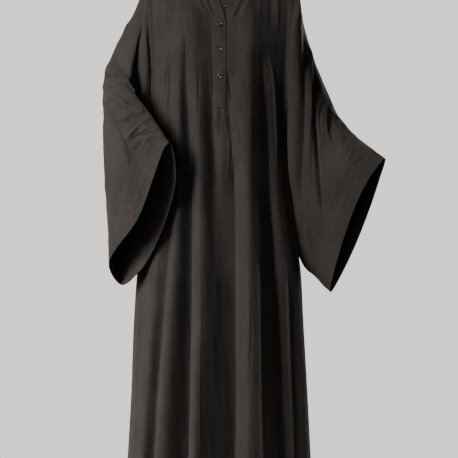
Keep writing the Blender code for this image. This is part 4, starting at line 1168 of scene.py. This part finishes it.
def threadMesh():
    points, faces = [], []
    top = buttonLook["thick"] - buttonLook["dish"] - threadLook["under"]
    for turn, high in zip((math.pi / 4, -math.pi / 4), threadLook["heights"]):
        for aside in (-threadLook["aside"], threadLook["aside"]):
            path = []
            for t in np.linspace(-1, 1, threadLook["steps"]):
                out = t * (buttonLook["holeOut"] + threadLook["past"])
                bent = max(0.0, abs(t) - threadLook["bendsAt"])
                lift = top + high * (1 - abs(t) ** 4) - threadLook["sinks"] * bent
                path.append((out * math.cos(turn) - aside * math.sin(turn),
                             out * math.sin(turn) + aside * math.cos(turn), lift))
            made, loops = tube(path, threadLook["radius"], threadLook["sides"])
            faces += [[v + sum(len(p) for p in points) for v in loop] for loop in loops]
            points.append(made)
    mesh = newMesh("button thread", (np.concatenate(points) * mm).tolist(), faces=faces)
    mesh.update()
    return mesh


def placeMesh(name, mesh, seat, normal, spin, material):
    made = mesh.copy()
    made.name = name
    matrix = Vector(normal).to_track_quat("Z", "Y").to_matrix().to_4x4()
    matrix = matrix @ Matrix.Rotation(math.radians(spin), 4, "Z")
    matrix.translation = Vector(seat) * mm
    made.transform(matrix)
    made.materials.clear()
    made.materials.append(material)
    made.shade_smooth()
    return addObject(name, made)


turned, cross = buttonMesh(), threadMesh()
buttons, threads = [], []
for name, x, z, spin, lift in buttonLook["places"]:
    probe = buttonLook["probe"]
    corners = np.array([[x - probe, z - probe], [x - probe, z + probe], [x + probe, z + probe],
                        [x + probe, z - probe], [x, z]])
    around = foldedBody(corners[:, 0], corners[:, 1], True)
    normal = unit(np.cross(around[2] - around[0], around[1] - around[3]))
    normal = normal if normal[1] < 0 else -normal
    seat = around[4] + normal * lift
    label = name.replace("_", "")
    buttons.append((name, placeMesh(label + "Disc", turned, seat, normal, spin, gloss)))
    threads.append(placeMesh(label + "Thread", cross, seat, normal, spin, thread))
print("buttons made")


# ---- stitches: one small node tree lays them along any line
stitchLook = {"Spacing": 3.0 * mm, "Length": 2.2 * mm, "Thickness": 0.5 * mm, "Material": thread}
stitchShape = {"ball": (6, 4), "least": (0.86, 0.9, 0.9), "most": (1.08, 1.1, 1.1), "seed": 4,
               "lift": 0.12, "bandLift": 0.2}


def stitchTree():
    tree = bpy.data.node_groups.new("stitchRow", "GeometryNodeTree")
    tree.interface.new_socket("Geometry", in_out="INPUT", socket_type="NodeSocketGeometry")
    for name in stitchLook:
        kind = "NodeSocketMaterial" if name == "Material" else "NodeSocketFloat"
        tree.interface.new_socket(name, in_out="INPUT", socket_type=kind)
    tree.interface.new_socket("Geometry", in_out="OUTPUT", socket_type="NodeSocketGeometry")
    start = addNode(tree, "NodeGroupInput")
    line = addNode(tree, "GeometryNodeMeshToCurve", Mesh=start)
    even = addNode(tree, "GeometryNodeResampleCurve", {"mode": "LENGTH"}, Curve=line,
                   Length=start.outputs["Spacing"])
    out = addNode(tree, "GeometryNodeInputNamedAttribute", {"data_type": "FLOAT_VECTOR"}, Name="outward")
    tangent = addNode(tree, "GeometryNodeInputTangent")
    up = addNode(tree, "FunctionNodeAlignRotationToVector", {"axis": "Z"}, Vector=out.outputs["Attribute"])
    turn = addNode(tree, "FunctionNodeAlignRotationToVector", {"axis": "X", "pivot_axis": "Z"},
                   Rotation=up, Vector=tangent)
    ball = addNode(tree, "GeometryNodeMeshUVSphere", Segments=stitchShape["ball"][0],
                   Rings=stitchShape["ball"][1], Radius=0.5)
    size = addNode(tree, "ShaderNodeCombineXYZ", X=start.outputs["Length"], Y=start.outputs["Thickness"],
                   Z=start.outputs["Thickness"])
    shift = addNode(tree, "FunctionNodeRandomValue", {"data_type": "FLOAT_VECTOR"}, i0=stitchShape["least"],
                    i1=stitchShape["most"], Seed=stitchShape["seed"])
    scaled = addNode(tree, "ShaderNodeVectorMath", {"operation": "MULTIPLY"}, i0=size, i1=shift)
    laid = addNode(tree, "GeometryNodeInstanceOnPoints", Points=even, Instance=ball, Rotation=turn,
                   Scale=scaled)
    real = addNode(tree, "GeometryNodeRealizeInstances", Geometry=laid)
    painted = addNode(tree, "GeometryNodeSetMaterial", Geometry=real, Material=start.outputs["Material"])
    addNode(tree, "NodeGroupOutput", Geometry=painted)
    return tree


stitching = stitchTree()


def stitchRow(name, lines):
    points, edges, outward = [], [], []
    for path, normals, closed in lines:
        base = len(points)
        points += (path * mm).tolist()
        outward += normals.tolist()
        edges += [(base + i, base + i + 1) for i in range(len(path) - 1)]
        if closed:
            edges.append((base + len(path) - 1, base))
    mesh = newMesh(name, points, edges)
    layer = mesh.attributes.new("outward", "FLOAT_VECTOR", "POINT")
    layer.data.foreach_set("vector", np.array(outward, np.float32).ravel())
    guide = addObject(name + " guide", mesh)
    modifier = guide.modifiers.new("stitches", "NODES")
    modifier.node_group = stitching
    for item in stitching.interface.items_tree:
        if item.in_out == "INPUT" and item.name in stitchLook:
            modifier[item.identifier] = stitchLook[item.name]
    made = finishedMesh(guide)
    made.name = name
    made.shade_smooth()
    return addObject(name, made)


def lineAcross(cloth, values, at, closed=False):
    both = withNormals(cloth)[cloth["index"]]
    found = []
    for k in range(both.shape[1]):
        order = np.argsort(values[:, k])
        found.append([np.interp(at, values[order, k], both[order, k, i]) for i in range(6)])
    path, outward = np.array(found)[:, :3], unit(np.array(found)[:, 3:])
    return path + outward * stitchShape["lift"], outward, closed


rowsPlaced = {
    "hemStitches": [lineAcross(cloth, cloth["z"], body["hemZ"] + hem["stitches"]) for cloth in (front, back)],
    "cuffStitchesRight": [lineAcross(rightSleeve, -rightSleeve["left"], -sleeveRight["hem"], True)],
    "cuffStitchesLeft": [lineAcross(leftSleeve, -leftSleeve["left"], -sleeveLeft["hem"], True)],
}
edgeShare, placketZ, ids = placket["edge"], placket["z"], placket["index"]
inOrder = np.arange(strip["columns"] + 1)[None] <= strip["columns"] // 2
sideways = np.where(inOrder, edgeShare, body["placketWidth"] - edgeShare)
boxRows = placketZ[:, strip["columns"] // 2] > strip["boxAt"] - strip["belowBox"]
middle = slice(strip["boxColumn"], strip["columns"] + 1 - strip["boxColumn"])
placketLines = [lineAcross({**placket, "index": ids[boxRows].T}, sideways.T[:, boxRows], at)
                for at in (strip["stitchIn"], body["placketWidth"] - strip["stitchIn"])]
placketLines += [lineAcross({**placket, "index": ids[:, middle]}, placketZ[:, middle], at)
                 for at in (strip["boxAt"], strip["endZ"] + strip["stitchIn"])]
rowsPlaced["placketStitches"] = placketLines
bandRow = int(round(band["rows"] * (1 - band["stitches"] / band["height"])))
bandIds = neckband["index"][bandRow]
bandLine = neckband["points"][bandIds] + neckband["outward"] * stitchShape["bandLift"]
rowsPlaced["neckbandStitches"] = [(bandLine, neckband["outward"], False)]
stitchPieces = {name: stitchRow(name, lines) for name, lines in rowsPlaced.items()}
print("stitches laid")


# ---- floor and light
studio = {
    "world": 0.095, "worldColour": (1.0, 0.972, 0.942, 1.0), "wallRadius": 12.0, "wallSides": 64,
    "wall": (1.30, 1.24, 1.18, 1.0),
    "floor": (0.40, 0.39, 0.38, 1.0), "floorRoughness": 0.8, "floorRadius": 0.8, "floorZ": -1.50,
    "floorSides": 96,
    # name, place, size, power, the point it faces, spread in degrees
    "lights": (("key", (-2.88, -2.28, 0.6), 2.2, 130.0, (-1.45, 0.0, -0.75), 60.0),
               ("back", (1.7, 3.6, 0.8), 2.4, 190.0, (0.0, 0.0, -0.75), 180.0),
               ("fill", (-0.9, -3.8, 0.0), 2.0, 26.0, (0.0, 0.0, -0.75), 180.0)),
}
floorEdge = [(studio["floorRadius"] * math.cos(a), studio["floorRadius"] * math.sin(a), studio["floorZ"])
             for a in np.linspace(0, 2 * math.pi, studio["floorSides"], endpoint=False)]
floorMesh = newMesh("floor", floorEdge, faces=[list(range(studio["floorSides"]))])
floorPaint, floorTree = newMaterial("pale floor")
finish(floorTree, Base_Color=studio["floor"], Roughness=studio["floorRoughness"])
floorMesh.materials.append(floorPaint)
floor = addObject("floor", floorMesh)
wallForm = bmesh.new()
bmesh.ops.create_uvsphere(wallForm, u_segments=studio["wallSides"], v_segments=studio["wallSides"] // 2,
                          radius=studio["wallRadius"])
bmesh.ops.reverse_faces(wallForm, faces=wallForm.faces)
wallMesh = formMesh("backdrop", wallForm)
wallMesh.shade_smooth()
wallPaint, wallTree = newMaterial("backdrop")
glow = addNode(wallTree, "ShaderNodeEmission", Color=studio["wall"], Strength=1.0)
addNode(wallTree, "ShaderNodeOutputMaterial", Surface=glow)
wallMesh.materials.append(wallPaint)
wall = addObject("backdrop", wallMesh)
for ray in ("diffuse", "glossy", "shadow", "transmission"):              # it is only seen, and lights nothing
    setattr(wall, "visible_" + ray, False)
world = bpy.data.worlds.new("studio")
world.use_nodes = True
bpy.context.scene.world = world
for node in world.node_tree.nodes:
    if node.type == "BACKGROUND":
        node.inputs["Color"].default_value = studio["worldColour"]
        node.inputs["Strength"].default_value = studio["world"]
for name, place, size, power, aim, spread in studio["lights"]:
    light = bpy.data.lights.new(name, "AREA")
    light.size, light.energy, light.spread = size, power, math.radians(spread)
    made = addObject(name, light)
    made.location = place
    made.rotation_euler = (Vector(aim) - Vector(place)).to_track_quat("-Z", "Y").to_euler()
print("floor and light set")


# ---- each piece hangs from the root, and the model part it stands for is hidden
for name, _, _, node, *_ in sheets:
    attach(pieces[name], "root")
    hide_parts(node)
for (node, disc), sewing in zip(buttons, threads):
    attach(disc, "root")
    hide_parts(node)
    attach(sewing, "root")
for piece in stitchPieces.values():
    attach(piece, "root")
